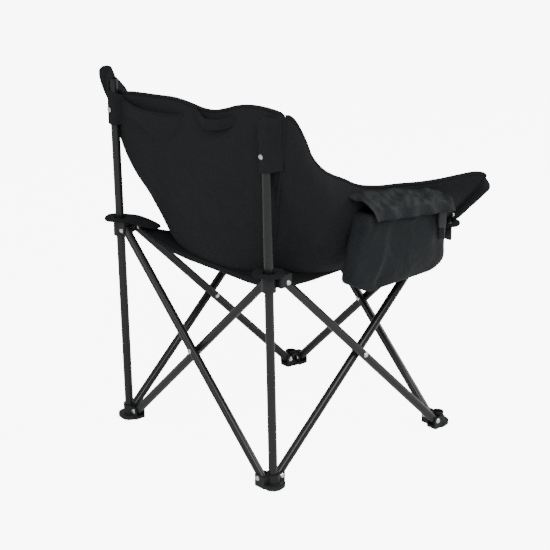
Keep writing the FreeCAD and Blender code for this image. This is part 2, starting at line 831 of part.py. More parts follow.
def bag_lid():
    """The bag's flap: it lies on the rim and is sewn along the side nearest the arm."""
    gap = 0.6
    thick = 5
    rings = []
    for end in (0, 1):
        y = (BAG_REAR + 2, BAG_FRONT - 2)[end]
        near = BAG_INNER[end] + 1
        away = BAG_INNER[end] - BAG_DEPTH - 3
        low = BAG_TOP[end] + gap
        rings.append([(near, y, low), (near, y, low + thick), (away, y, low + thick), (away, y, low)])
    return fixed_shape("bag_lid", loft(rings))


back_pocket()
cooler_bag()
bag_lid()

# ---------------------------------------------------------------- check and write

doc.recompute()
for item in doc.Objects:
    if "Invalid" in item.State or "Error" in item.State:
        raise RuntimeError("%s failed: %s" % (item.Label, item.State))

whole = FreeCAD.BoundBox()
for item in NODES:
    if item.Shape.isNull() or not item.Shape.isValid():
        raise RuntimeError("%s has no valid shape" % item.Label)
    item.Shape.exportStep(os.path.join("parts", item.Label + ".step"))
    whole.add(item.Shape.BoundBox)
print("%d nodes, box %s" % (len(NODES), whole))
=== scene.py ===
"""A folding camp chair with a padded bucket sling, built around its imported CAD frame.

Steel tubes, feet, hubs and rivets are the CAD nodes with finishes and softened edges.
Every fabric piece is modelled here: the bucket's back and sides, the seat base, the
post sleeves, arm pockets, corner tabs, grab handle, back pocket and cooler bag.
"""

import json
import logging
import math
from dataclasses import dataclass, field
from enum import Enum
from typing import Callable, Sequence

import bmesh
import bpy
import numpy as np
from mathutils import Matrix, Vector, noise

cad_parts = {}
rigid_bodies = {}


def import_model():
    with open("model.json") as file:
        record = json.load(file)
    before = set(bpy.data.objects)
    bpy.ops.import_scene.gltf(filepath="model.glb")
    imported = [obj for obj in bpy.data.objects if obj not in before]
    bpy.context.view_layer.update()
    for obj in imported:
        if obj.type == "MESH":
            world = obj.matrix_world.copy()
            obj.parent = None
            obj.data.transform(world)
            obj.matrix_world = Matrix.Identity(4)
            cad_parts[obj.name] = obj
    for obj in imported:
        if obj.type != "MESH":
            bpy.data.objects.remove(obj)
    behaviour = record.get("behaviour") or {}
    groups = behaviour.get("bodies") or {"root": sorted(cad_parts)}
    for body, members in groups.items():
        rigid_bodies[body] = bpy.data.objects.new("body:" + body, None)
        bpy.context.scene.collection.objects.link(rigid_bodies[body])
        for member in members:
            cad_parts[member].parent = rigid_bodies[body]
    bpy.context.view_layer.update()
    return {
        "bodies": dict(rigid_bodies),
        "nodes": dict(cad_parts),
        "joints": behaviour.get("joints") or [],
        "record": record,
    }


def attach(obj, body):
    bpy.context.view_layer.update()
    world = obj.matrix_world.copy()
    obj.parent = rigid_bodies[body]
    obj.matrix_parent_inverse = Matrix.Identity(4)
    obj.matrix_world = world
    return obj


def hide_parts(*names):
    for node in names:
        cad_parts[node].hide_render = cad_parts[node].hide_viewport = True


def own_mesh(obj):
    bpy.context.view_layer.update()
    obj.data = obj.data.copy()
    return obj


logging.basicConfig(level=logging.INFO, format="%(name)s: %(message)s")
LOG = logging.getLogger("camp_chair")

Point = tuple[float, float, float]
SurfaceMap = Callable[[np.ndarray, np.ndarray], np.ndarray]


class Slot(Enum):
    """Material slots of the record that the pieces take their finish from."""

    TUBE = "frame_tube"
    PLASTIC = "moulded_plastic"
    RIVET = "rivet"
    WASHER = "washer"
    SLING = "sling_fabric"
    SEAT = "seat_fabric"
    BAG = "bag_fabric"
    WEBBING = "webbing"


class Weave(Enum):
    """Surface structure of a cloth."""

    OXFORD = "oxford"
    RIBBED = "ribbed"


@dataclass(frozen=True)
class ClothFinish:
    """Look of a woven cloth.

    Attributes:
        slot: Material slot it belongs to.
        colour: Linear base colour.
        roughness: Middle of the roughness range.
        sheen: Weight of the fibre sheen.
        threads: Threads per metre.
        relief: Strength of the weave's relief.
        crumple: Strength of the soft wrinkles.
        weave: Kind of weave.
        specular: Specular level of the fibres.
    """

    slot: Slot
    colour: Point
    roughness: float = 0.78
    sheen: float = 0.02
    threads: float = 900.0
    relief: float = 0.25
    crumple: float = 0.35
    weave: Weave = Weave.OXFORD
    specular: float = 0.05


@dataclass(frozen=True)
class HardFinish:
    """Look of a metal or plastic surface.

    Attributes:
        slot: Material slot it belongs to.
        colour: Linear base colour.
        metallic: Metallic weight.
        roughness: Middle of the roughness range.
        coat: Weight of the clear coat.
        grain: Strength of the fine surface grain.
        grain_scale: Grains per metre.
        specular: Specular level of the surface.
    """

    slot: Slot
    colour: Point
    metallic: float = 0.0
    roughness: float = 0.4
    coat: float = 0.0
    grain: float = 0.05
    grain_scale: float = 900.0
    specular: float = 0.25


CLOTHS: dict[Slot, ClothFinish] = {
    Slot.SLING: ClothFinish(Slot.SLING, (0.0148, 0.0156, 0.0168)),
    Slot.SEAT: ClothFinish(Slot.SEAT, (0.0096, 0.0101, 0.0114), crumple=0.3),
    Slot.BAG: ClothFinish(
        Slot.BAG, (0.0138, 0.0160, 0.0180), roughness=0.50, crumple=0.9, specular=0.12
    ),
    Slot.WEBBING: ClothFinish(
        Slot.WEBBING,
        (0.0135, 0.0148, 0.0165),
        threads=700.0,
        relief=0.5,
        crumple=0.1,
        weave=Weave.RIBBED,
    ),
}
HARDS: dict[Slot, HardFinish] = {
    Slot.TUBE: HardFinish(
        Slot.TUBE, (0.0112, 0.0120, 0.0122), roughness=0.27, coat=0.22, grain=0.04
    ),
    Slot.PLASTIC: HardFinish(
        Slot.PLASTIC, (0.0140, 0.0154, 0.0166), roughness=0.40, grain=0.12
    ),
    Slot.RIVET: HardFinish(
        Slot.RIVET, (0.72, 0.71, 0.69), metallic=1.0, roughness=0.24, grain=0.02
    ),
    Slot.WASHER: HardFinish(
        Slot.WASHER, (0.0120, 0.0128, 0.0136), roughness=0.55, grain=0.06
    ),
}


class NodeGroups:
    """Shader node groups shared by the materials."""

    @staticmethod
    def _group(
        name: str,
        inputs: Sequence[tuple[str, str, float]],
        outputs: Sequence[tuple[str, str]],
    ) -> tuple[bpy.types.NodeTree, bpy.types.Node, bpy.types.Node]:
        """Makes an empty node group with its sockets.

        Args:
            name: Name of the group.
            inputs: Name, socket type and default of each input.
            outputs: Name and socket type of each output.

        Returns:
            The group, its input node and its output node.
        """
        tree = bpy.data.node_groups.new(name, "ShaderNodeTree")
        for label, kind, default in inputs:
            socket = tree.interface.new_socket(label, in_out="INPUT", socket_type=kind)
            if kind == "NodeSocketFloat":
                socket.default_value = default
        for label, kind in outputs:
            tree.interface.new_socket(label, in_out="OUTPUT", socket_type=kind)
        return (
            tree,
            tree.nodes.new("NodeGroupInput"),
            tree.nodes.new("NodeGroupOutput"),
        )

    @staticmethod
    def weave(ribbed: bool) -> bpy.types.NodeTree:
        """Crossed threads with slubs and soft wrinkles.

        Args:
            ribbed: True for webbing, whose ribs run one way.

        Returns:
            A group that gives a shade, a roughness mask and a normal.
        """
        tree, source, sink = NodeGroups._group(
            "ribbed_weave" if ribbed else "oxford_weave",
            (
                ("Threads", "NodeSocketFloat", 900.0),
                ("Relief", "NodeSocketFloat", 0.25),
                ("Crumple", "NodeSocketFloat", 0.35),
            ),
            (
                ("Shade", "NodeSocketFloat"),
                ("Mask", "NodeSocketFloat"),
                ("Normal", "NodeSocketVector"),
            ),
        )
        new, link = tree.nodes.new, tree.links.new
        place = new("ShaderNodeTexCoord")
        heights = []
        for direction in ("X", "Z") if not ribbed else ("DIAGONAL",):
            wave = new("ShaderNodeTexWave")
            wave.bands_direction = direction
            wave.inputs["Distortion"].default_value = 0.6
            wave.inputs["Detail"].default_value = 1.0
            link(place.outputs["Object"], wave.inputs["Vector"])
            link(source.outputs["Threads"], wave.inputs["Scale"])
            heights.append(wave.outputs["Fac"])
        threads = heights[0]
        if len(heights) == 2:
            cross = new("ShaderNodeMath")
            cross.operation = "MAXIMUM"
            link(heights[0], cross.inputs[0])
            link(heights[1], cross.inputs[1])
            threads = cross.outputs[0]
        slub = new("ShaderNodeTexNoise")
        slub.inputs["Scale"].default_value = 160.0
        slub.inputs["Detail"].default_value = 3.0
        link(place.outputs["Object"], slub.inputs["Vector"])
        folds = new("ShaderNodeTexNoise")
        folds.inputs["Scale"].default_value = 16.0
        folds.inputs["Detail"].default_value = 4.0
        folds.inputs["Roughness"].default_value = 0.45
        folds.inputs["Distortion"].default_value = 0.7
        link(place.outputs["Object"], folds.inputs["Vector"])
        fine = new("ShaderNodeBump")
        fine.inputs["Distance"].default_value = 0.0004
        link(source.outputs["Relief"], fine.inputs["Strength"])
        link(threads, fine.inputs["Height"])
        soft = new("ShaderNodeBump")
        soft.inputs["Distance"].default_value = 0.009
        link(source.outputs["Crumple"], soft.inputs["Strength"])
        link(folds.outputs["Fac"], soft.inputs["Height"])
        link(fine.outputs["Normal"], soft.inputs["Normal"])
        link(slub.outputs["Fac"], sink.inputs["Shade"])
        link(folds.outputs["Fac"], sink.inputs["Mask"])
        link(soft.outputs["Normal"], sink.inputs["Normal"])
        return tree

    @staticmethod
    def grain() -> bpy.types.NodeTree:
        """Fine grain and faint wear of a coated or moulded surface.

        Returns:
            A group that gives a mask and a normal.
        """
        tree, source, sink = NodeGroups._group(
            "surface_grain",
            (
                ("Scale", "NodeSocketFloat", 900.0),
                ("Strength", "NodeSocketFloat", 0.05),
            ),
            (("Mask", "NodeSocketFloat"), ("Normal", "NodeSocketVector")),
        )
        new, link = tree.nodes.new, tree.links.new
        place = new("ShaderNodeTexCoord")
        speck = new("ShaderNodeTexNoise")
        speck.inputs["Detail"].default_value = 2.0
        link(place.outputs["Object"], speck.inputs["Vector"])
        link(source.outputs["Scale"], speck.inputs["Scale"])
        smudge = new("ShaderNodeTexNoise")
        smudge.inputs["Scale"].default_value = 24.0
        smudge.inputs["Detail"].default_value = 4.0
        link(place.outputs["Object"], smudge.inputs["Vector"])
        bump = new("ShaderNodeBump")
        bump.inputs["Distance"].default_value = 0.0003
        link(source.outputs["Strength"], bump.inputs["Strength"])
        link(speck.outputs["Fac"], bump.inputs["Height"])
        link(smudge.outputs["Fac"], sink.inputs["Mask"])
        link(bump.outputs["Normal"], sink.inputs["Normal"])
        return tree


@dataclass
class FinishLibrary:
    """Makes one material per slot.

    Attributes:
        materials: The materials by slot.
    """

    materials: dict[Slot, bpy.types.Material] = field(default_factory=dict)

    def build(self) -> "FinishLibrary":
        """Makes every material.

        Returns:
            The library itself.
        """
        weaves = {
            Weave.OXFORD: NodeGroups.weave(False),
            Weave.RIBBED: NodeGroups.weave(True),
        }
        grain = NodeGroups.grain()
        for slot, cloth in CLOTHS.items():
            self.materials[slot] = self._cloth(cloth, weaves[cloth.weave])
        for slot, hard in HARDS.items():
            self.materials[slot] = self._hard(hard, grain)
        return self

    @staticmethod
    def _spread(
        tree: bpy.types.NodeTree, mask: bpy.types.NodeSocket, low: float, high: float
    ) -> bpy.types.NodeSocket:
        """Maps a mask to a range.

        Args:
            tree: The material's node tree.
            mask: A value around one half.
            low: Result at 0.3.
            high: Result at 0.7.

        Returns:
            The mapped value.
        """
        node = tree.nodes.new("ShaderNodeMapRange")
        node.inputs["From Min"].default_value = 0.3
        node.inputs["From Max"].default_value = 0.7
        node.inputs["To Min"].default_value = low
        node.inputs["To Max"].default_value = high
        tree.links.new(mask, node.inputs["Value"])
        return node.outputs["Result"]

    def _cloth(self, finish: ClothFinish, weave: bpy.types.NodeTree) -> bpy.types.Material:
        """Makes a cloth material.

        Args:
            finish: The cloth's look.
            weave: The weave's node group.

        Returns:
            The material.
        """
        material = bpy.data.materials.new(finish.slot.value)
        material.use_nodes = True
        tree = material.node_tree
        shader = tree.nodes["Principled BSDF"]
        group = tree.nodes.new("ShaderNodeGroup")
        group.node_tree = weave
        group.inputs["Threads"].default_value = finish.threads
        group.inputs["Relief"].default_value = finish.relief
        group.inputs["Crumple"].default_value = finish.crumple
        tint = tree.nodes.new("ShaderNodeMix")
        tint.data_type = "RGBA"
        tint.inputs["A"].default_value = (*(0.82 * c for c in finish.colour), 1.0)
        tint.inputs["B"].default_value = (*(1.25 * c for c in finish.colour), 1.0)
        tree.links.new(group.outputs["Shade"], tint.inputs["Factor"])
        tree.links.new(tint.outputs["Result"], shader.inputs["Base Color"])
        rough = self._spread(
            tree, group.outputs["Mask"], finish.roughness - 0.06, finish.roughness + 0.08
        )
        tree.links.new(rough, shader.inputs["Roughness"])
        tree.links.new(group.outputs["Normal"], shader.inputs["Normal"])
        shader.inputs["Sheen Weight"].default_value = finish.sheen
        shader.inputs["Sheen Roughness"].default_value = 0.5
        shader.inputs["Specular IOR Level"].default_value = finish.specular
        return material

    def _hard(self, finish: HardFinish, grain: bpy.types.NodeTree) -> bpy.types.Material:
        """Makes a metal or plastic material.

        Args:
            finish: The surface's look.
            grain: The grain's node group.

        Returns:
            The material.
        """
        material = bpy.data.materials.new(finish.slot.value)
        material.use_nodes = True
        tree = material.node_tree
        shader = tree.nodes["Principled BSDF"]
        group = tree.nodes.new("ShaderNodeGroup")
        group.node_tree = grain
        group.inputs["Scale"].default_value = finish.grain_scale
        group.inputs["Strength"].default_value = finish.grain
        rough = self._spread(
            tree, group.outputs["Mask"], finish.roughness - 0.05, finish.roughness + 0.07
        )
        tree.links.new(rough, shader.inputs["Roughness"])
        tree.links.new(group.outputs["Normal"], shader.inputs["Normal"])
        shader.inputs["Base Color"].default_value = (*finish.colour, 1.0)
        shader.inputs["Metallic"].default_value = finish.metallic
        shader.inputs["Specular IOR Level"].default_value = finish.specular
        shader.inputs["Coat Weight"].default_value = finish.coat
        shader.inputs["Coat Roughness"].default_value = 0.25
        return material


@dataclass(frozen=True)
class SmoothCurve:
    """A smooth curve through points, with a parameter from 0 to 1 along its length.

    Attributes:
        points: Points that it passes through.
    """

    points: tuple[Point, ...]

    def at(self, t: np.ndarray) -> np.ndarray:
        """Gives points of the curve.

        Args:
            t: Parameters from 0 to 1.

        Returns:
            One point for each parameter.
        """
        knots = np.array(self.points, float)
        steps = np.linalg.norm(np.diff(knots, axis=0), axis=1)
        along = np.concatenate(([0.0], np.cumsum(steps)))
        along /= along[-1]
        slope = np.gradient(knots, along, axis=0)
        i = np.clip(np.searchsorted(along, t, side="right") - 1, 0, len(along) - 2)
        gap = (along[i + 1] - along[i])[..., None]
        x = (np.asarray(t, float) - along[i])[..., None] / gap
        return (
            (2 * x**3 - 3 * x**2 + 1) * knots[i]
            + (x**3 - 2 * x**2 + x) * gap * slope[i]
            + (3 * x**2 - 2 * x**3) * knots[i + 1]
            + (x**3 - x**2) * gap * slope[i + 1]
        )

    def mirrored(self) -> "SmoothCurve":
        """Gives the curve on the other side of the chair.

        Returns:
            The curve with x changed in sign.
        """
        return SmoothCurve(tuple((-x, y, z) for x, y, z in self.points))

    def lowered(self, above: float = 0.80, keep: float = 0.6) -> "SmoothCurve":
        """Gives the curve with its highest part brought down.

        Args:
            above: Height above which it is lowered.
            keep: Share of the height above that which is left.

        Returns:
            The lowered curve.
        """
        return SmoothCurve(
            tuple((x, y, min(z, above + keep * (z - above))) for x, y, z in self.points)
        )


@dataclass(frozen=True)
class Patch:
    """A surface stretched between four curves.

    Attributes:
        low: Lower edge, along u.
        high: Upper edge, along u.
        start: Edge at u 0, along v.
        finish: Edge at u 1, along v.
        swell: How far the middle stands out from the stretched surface.
        centre: A point on the side that the surface faces away from.
    """

    low: SmoothCurve
    high: SmoothCurve
    start: SmoothCurve
    finish: SmoothCurve
    swell: float = 0.0
    centre: Point = (0.0, 0.0, 0.7)

    def flat(self, u: np.ndarray, v: np.ndarray) -> np.ndarray:
        """Gives points of the stretched surface without its swell.

        Args:
            u: Parameters along the lower and upper edges.
            v: Parameters from the lower to the upper edge.

        Returns:
            One point for each pair.
        """
        a, b = u[..., None], v[..., None]
        c00, c10 = self.low.at(np.zeros(1))[0], self.low.at(np.ones(1))[0]
        c01, c11 = self.high.at(np.zeros(1))[0], self.high.at(np.ones(1))[0]
        return (
            (1 - b) * self.low.at(u)
            + b * self.high.at(u)
            + (1 - a) * self.start.at(v)
            + a * self.finish.at(v)
            - (1 - a) * (1 - b) * c00
            - a * (1 - b) * c10
            - (1 - a) * b * c01
            - a * b * c11
        )

    def normal(self, u: np.ndarray, v: np.ndarray) -> np.ndarray:
        """Gives unit normals that point away from the centre.

        Args:
            u: Parameters along the lower and upper edges.
            v: Parameters from the lower to the upper edge.

        Returns:
            One normal for each pair.
        """
        e = 0.01
        u0, u1 = np.clip(u - e, 0, 1), np.clip(u + e, 0, 1)
        v0, v1 = np.clip(v - e, 0, 1), np.clip(v + e, 0, 1)
        n = np.cross(
            self.flat(u1, v) - self.flat(u0, v), self.flat(u, v1) - self.flat(u, v0)
        )
        n /= np.linalg.norm(n, axis=-1, keepdims=True) + 1e-12
        half = np.full(1, 0.5)
        middle = self.flat(half, half)[0]
        e1, e2 = np.full(1, 0.52), np.full(1, 0.48)
        facing = np.cross(
            self.flat(e1, half)[0] - self.flat(e2, half)[0],
            self.flat(half, e1)[0] - self.flat(half, e2)[0],
        )
        away = np.dot(facing, middle - np.array(self.centre))
        return n if away > 0 else -n

    def at(self, u: np.ndarray, v: np.ndarray) -> np.ndarray:
        """Gives points of the swollen surface.

        Args:
            u: Parameters along the lower and upper edges.
            v: Parameters from the lower to the upper edge.

        Returns:
            One point for each pair.
        """
        out = np.sin(np.pi * np.clip(u, 0, 1)) * np.sin(np.pi * np.clip(v, 0, 1))
        return self.flat(u, v) + self.swell * out[..., None] * self.normal(u, v)


class Mesher:
    """Builds meshes from a square grid that is bent into place."""

    @staticmethod
    def _grid(nu: int, nv: int) -> tuple[bmesh.types.BMesh, np.ndarray, np.ndarray]:
        """Makes a unit grid.

        Args:
            nu: Steps along u.
            nv: Steps along v.

        Returns:
            The grid and the u and v of each of its vertices.
        """
        bm = bmesh.new()
        bm.loops.layers.uv.new("UVMap")
        bmesh.ops.create_grid(bm, x_segments=nu, y_segments=nv, size=0.5, calc_uvs=True)
        bm.verts.ensure_lookup_table()
        uv = np.array([(p.co.x + 0.5, p.co.y + 0.5) for p in bm.verts])
        return bm, np.clip(uv[:, 0], 0, 1), np.clip(uv[:, 1], 0, 1)

    @staticmethod
    def _finish(bm: bmesh.types.BMesh, name: str) -> bpy.types.Object:
        """Turns a bmesh into a smooth object at the origin.

        Args:
            bm: The shape, which is freed.
            name: Name of the object.

        Returns:
            The object.
        """
        bmesh.ops.recalc_face_normals(bm, faces=bm.faces)
        if bm.calc_volume(signed=True) < 0:
            bmesh.ops.reverse_faces(bm, faces=bm.faces)
        open_edges = sum(1 for edge in bm.edges if len(edge.link_faces) != 2)
        for face in bm.faces:
            face.smooth = True
        mesh = bpy.data.meshes.new(name)
        bm.to_mesh(mesh)
        bm.free()
        thing = bpy.data.objects.new(name, mesh)
        bpy.context.scene.collection.objects.link(thing)
        if open_edges:
            LOG.warning("%s has %d open edges", name, open_edges)
        return thing

    @staticmethod
    def closed(name: str, nu: int, nv: int, shape: SurfaceMap) -> bpy.types.Object:
        """Bends a grid onto a surface that closes on itself and welds it there.

        Args:
            name: Name of the object.
            nu: Steps along u.
            nv: Steps along v.
            shape: Gives the points of the surface.

        Returns:
            The object.
        """
        bm, u, v = Mesher._grid(nu, nv)
        for vertex, place in zip(bm.verts, shape(u, v)):
            vertex.co = place
        bmesh.ops.remove_doubles(bm, verts=bm.verts, dist=2e-5)
        return Mesher._finish(bm, name)

    @staticmethod
    def slab(
        name: str, nu: int, nv: int, outer: SurfaceMap, inner: SurfaceMap
    ) -> bpy.types.Object:
        """Bends a grid onto an outer surface and extrudes it to an inner one.

        Args:
            name: Name of the object.
            nu: Steps along u.
            nv: Steps along v.
            outer: Gives the points of the outer face.
            inner: Gives the points of the inner face.

        Returns:
            The object.
        """
        bm, u, v = Mesher._grid(nu, nv)
        keep_u = bm.verts.layers.float.new("u")
        keep_v = bm.verts.layers.float.new("v")
        for vertex, place, a, b in zip(bm.verts, outer(u, v), u, v):
            vertex.co = place
            vertex[keep_u], vertex[keep_v] = a, b
        made = bmesh.ops.extrude_face_region(bm, geom=bm.faces[:])["geom"]
        moved = [x for x in made if isinstance(x, bmesh.types.BMVert)]
        u = np.array([x[keep_u] for x in moved])
        v = np.array([x[keep_v] for x in moved])
        for vertex, place in zip(moved, inner(u, v)):
            vertex.co = place
        return Mesher._finish(bm, name)

    @staticmethod
    def rope(
        name: str, path: SmoothCurve, radius: float, steps: int = 60, sides: int = 8
    ) -> bpy.types.Object:
        """Sweeps a round section along a curve, with closed ends.

        Args:
            name: Name of the object.
            path: The curve.
            radius: Radius of the section.
            steps: Steps along the curve.
            sides: Sides of the section.

        Returns:
            The object.
        """

        def shape(u: np.ndarray, v: np.ndarray) -> np.ndarray:
            """Gives the rope's surface, along the curve by u and round it by v."""
            e = 0.5 / steps
            here = path.at(u)
            along = path.at(np.clip(u + e, 0, 1)) - path.at(np.clip(u - e, 0, 1))
            along /= np.linalg.norm(along, axis=1, keepdims=True) + 1e-12
            side = np.cross(along, np.array([0.31, 0.17, 0.93]))
            side /= np.linalg.norm(side, axis=1, keepdims=True) + 1e-12
            up = np.cross(side, along)
            end = np.minimum(u, 1 - u) * steps
            size = radius * np.where(end < 0.5, 0.0, np.where(end < 1.5, 0.8, 1.0))
            turn = 2 * np.pi * v
            return (
                here
                + (size * np.cos(turn))[:, None] * side
                + (size * np.sin(turn))[:, None] * up
            )

        return Mesher.closed(name, steps, sides, shape)


def ripple(points: np.ndarray, scale: float, seed: float) -> np.ndarray:
    """Gives smooth noise from -1 to 1 at points.

    Args:
        points: Places, in metres.
        scale: Waves per metre.
        seed: Shifts the pattern.

    Returns:
        One value for each point.
    """
    shift = Vector((seed, -seed, 0.5 * seed))
    return np.array([noise.noise(Vector(p) * scale + shift) for p in points])


def smooth_step(x: np.ndarray) -> np.ndarray:
    """Goes smoothly from 0 to 1.

    Args:
        x: Values, cut to 0 to 1.

    Returns:
        The smoothed values.
    """
    x = np.clip(x, 0.0, 1.0)
    return x * x * (3.0 - 2.0 * x)


@dataclass(frozen=True)
class Flattening:
    """How a soft piece would flatten as the chair folds; nothing in this script applies it.

    Attributes:
        axis: Direction in which it would flatten; not used.
        anchor: Point that would stay where it is; not used.
        keep: Share of its size that would be left; not used.
    """

    axis: Point
    anchor: Point
    keep: float


ACROSS = Flattening((1.0, 0.0, 0.0), (-0.263, 0.0, 0.0), 0.27)
BACKWARDS = Flattening((0.0, -0.90, -0.43), (0.0, 0.266, 0.85), 0.30)


@dataclass
class Workshop:
    """Gives each new piece its finish, body, slot and stand-in.

    Attributes:
        finishes: The materials.
    """

    finishes: FinishLibrary

    def place(
        self,
        thing: bpy.types.Object,
        slot: Slot,
        body: str,
        nodes: Sequence[str] = (),
        flat: Flattening | None = None,
        subdivide: bool = True,
    ) -> bpy.types.Object:
        """Finishes a piece.

        Args:
            thing: The piece, in place at rest.
            slot: Material slot.
            body: CAD body that it moves with.
            nodes: CAD nodes that it stands for.
            flat: How it would flatten as the chair folds; when given, the piece only gets a
                mesh of its own and is not flattened.
            subdivide: Whether the mesh is smoothed once more.

        Returns:
            The piece.
        """
        thing.data.materials.clear()
        thing.data.materials.append(self.finishes.materials[slot])
        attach(thing, body)
        if nodes:
            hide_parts(*nodes)
        if flat is not None:
            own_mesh(thing)
        if subdivide:
            smooth = thing.modifiers.new("smooth", "SUBSURF")
            smooth.levels = smooth.render_levels = 1
        LOG.info("%s: %d faces, on %s", thing.name, len(thing.data.polygons), body)
        return thing

    @staticmethod
    def puff(
        thing: bpy.types.Object,
        held: np.ndarray,
        pressure: float = 4.0,
        limit: float = 0.008,
        frames: int = 20,
    ) -> None:
        """Fills a closed cloth with air, with its sewn vertices held.

        Args:
            thing: The closed mesh.
            held: From 0, free, to 1, held, for each vertex.
            pressure: Pressure inside.
            limit: Farthest that a vertex may move, in metres.
            frames: Frames that the cloth is given to settle.
        """
        group = thing.vertex_groups.new(name="sewn")
        for index, weight in enumerate(held):
            group.add([index], float(weight), "REPLACE")
        cloth = thing.modifiers.new("cloth", "CLOTH")
        settings = cloth.settings
        settings.quality = 5
        settings.mass = 0.3
        settings.tension_stiffness = settings.compression_stiffness = 25.0
        settings.shear_stiffness = 10.0
        settings.bending_stiffness = 1.5
        settings.vertex_group_mass = "sewn"
        settings.use_pressure = True
        settings.uniform_pressure_force = pressure
        settings.effector_weights.gravity = 0.0
        cloth.point_cache.frame_start, cloth.point_cache.frame_end = 1, frames
        rest = Workshop.coordinates(thing.data)
        for frame in range(1, frames + 1):
            bpy.context.scene.frame_set(frame)
        view = bpy.context.evaluated_depsgraph_get()
        moved = Workshop.coordinates(thing.evaluated_get(view).data) - rest
        thing.modifiers.remove(cloth)
        bpy.context.scene.frame_set(1)
        far = np.linalg.norm(moved, axis=1, keepdims=True)
        moved *= np.minimum(1.0, limit / np.maximum(far, 1e-9))
        thing.data.vertices.foreach_set("co", (rest + moved).ravel())
        thing.data.update()
        LOG.info("%s puffed by up to %.1f mm", thing.name, 1000 * far.max())

    @staticmethod
    def coordinates(mesh: bpy.types.Mesh) -> np.ndarray:
        """Reads a mesh's vertices.

        Args:
            mesh: The mesh.

        Returns:
            One row for each vertex.
        """
        flat = np.zeros(3 * len(mesh.vertices))
        mesh.vertices.foreach_get("co", flat)
        return flat.reshape(-1, 3)

    @staticmethod
    def declare_sheet(
        thing: bpy.types.Object,
        held: str,
        rests_on: Sequence[str],
        flat: tuple[float, float],
    ) -> None:
        """Works out half the surface area of a thin piece's closed mesh, which is not kept.

        Args:
            thing: The closed mesh of the sheet.
            held: How it is held; not used.
            rests_on: What it hangs from or lies on; not used.
            flat: Width and length that it is cut from; not used.
        """
        bm = bmesh.new()
        bm.from_mesh(thing.data)
        area = sum(face.calc_area() for face in bm.faces) / 2
        bm.free()


@dataclass
class PaddedPanel:
    """One padded panel of the sling, sewn along its edges and its channels.

    Attributes:
        name: Name of the piece.
        patch: Its middle surface.
        thickness: Thickness between the seams.
        edge: Thickness at the seams.
        across: Places of the channels along u.
        along: Places of the channels along v.
        seed: Shifts its wrinkles.
        steps: Steps of its grid.
        crease: Depth of the loose wrinkles.
    """

    name: str
    patch: Patch
    thickness: float = 0.024
    edge: float = 0.007
    across: tuple[float, ...] = ()
    along: tuple[float, ...] = ()
    seed: float = 0.0
    steps: tuple[int, int] = (56, 40)
    crease: float = 0.0022

    def _inset(self, u: np.ndarray, v: np.ndarray) -> np.ndarray:
        """Gives the distance from the nearest sewn edge.

        Args:
            u: Parameters along the edges.
            v: Parameters from the lower to the upper edge.

        Returns:
            Distances in metres, roughly.
        """
        ends = np.array([0.0, 1.0]), np.array([0.5, 0.5])
        width = np.linalg.norm(np.diff(self.patch.flat(*ends), axis=0))
        height = np.linalg.norm(np.diff(self.patch.flat(*ends[::-1]), axis=0))
        return np.minimum(
            np.minimum(u, 1 - u) * width, np.minimum(v, 1 - v) * height
        )

    def _channel(self, u: np.ndarray, v: np.ndarray) -> np.ndarray:
        """Gives 1 on a sewn channel and 0 away from all of them.

        Args:
            u: Parameters along the edges.
            v: Parameters from the lower to the upper edge.

        Returns:
            One weight for each pair.
        """
        near = np.zeros_like(u)
        for line in self.across:
            near = np.maximum(near, np.exp(-(((u - line) / 0.018) ** 2)))
        for line in self.along:
            near = np.maximum(near, np.exp(-(((v - line) / 0.022) ** 2)))
        return near

    def _depth(self, u: np.ndarray, v: np.ndarray) -> np.ndarray:
        """Gives the thickness of the panel.

        Args:
            u: Parameters along the edges.
            v: Parameters from the lower to the upper edge.

        Returns:
            Thickness in metres.
        """
        rise = np.sqrt(np.clip(self._inset(u, v) / 0.035, 0, 1))
        return self.edge + (self.thickness - self.edge) * rise

    def _face(self, u: np.ndarray, v: np.ndarray, side: float) -> np.ndarray:
        """Gives one face of the panel.

        Args:
            u: Parameters along the edges.
            v: Parameters from the lower to the upper edge.
            side: Share of the thickness, outwards.

        Returns:
            One point for each pair.
        """
        middle = self.patch.at(u, v)
        free = smooth_step(self._inset(u, v) / 0.05)
        loose = ripple(middle, 9.0, self.seed) + 0.45 * ripple(middle, 24.0, self.seed)
        depth = self._depth(u, v)
        if side < 0:
            depth = depth * (1 - 0.6 * free * self._channel(u, v))
        shift = side * depth + self.crease * free * loose
        return middle + shift[:, None] * self.patch.normal(u, v)

    def build(self) -> bpy.types.Object:
        """Makes the panel and fills it.

        Returns:
            The object.
        """
        thing = Mesher.slab(
            self.name,
            *self.steps,
            lambda u, v: self._face(u, v, 0.35),
            lambda u, v: self._face(u, v, -0.65),
        )
        u, v = (
            np.array([row.value for row in thing.data.attributes[name].data])
            for name in ("u", "v")
        )
        sewn_edge = 1 - smooth_step(self._inset(u, v) / 0.02)
        Workshop.puff(thing, np.maximum(sewn_edge, self._channel(u, v) > 0.7))
        return thing


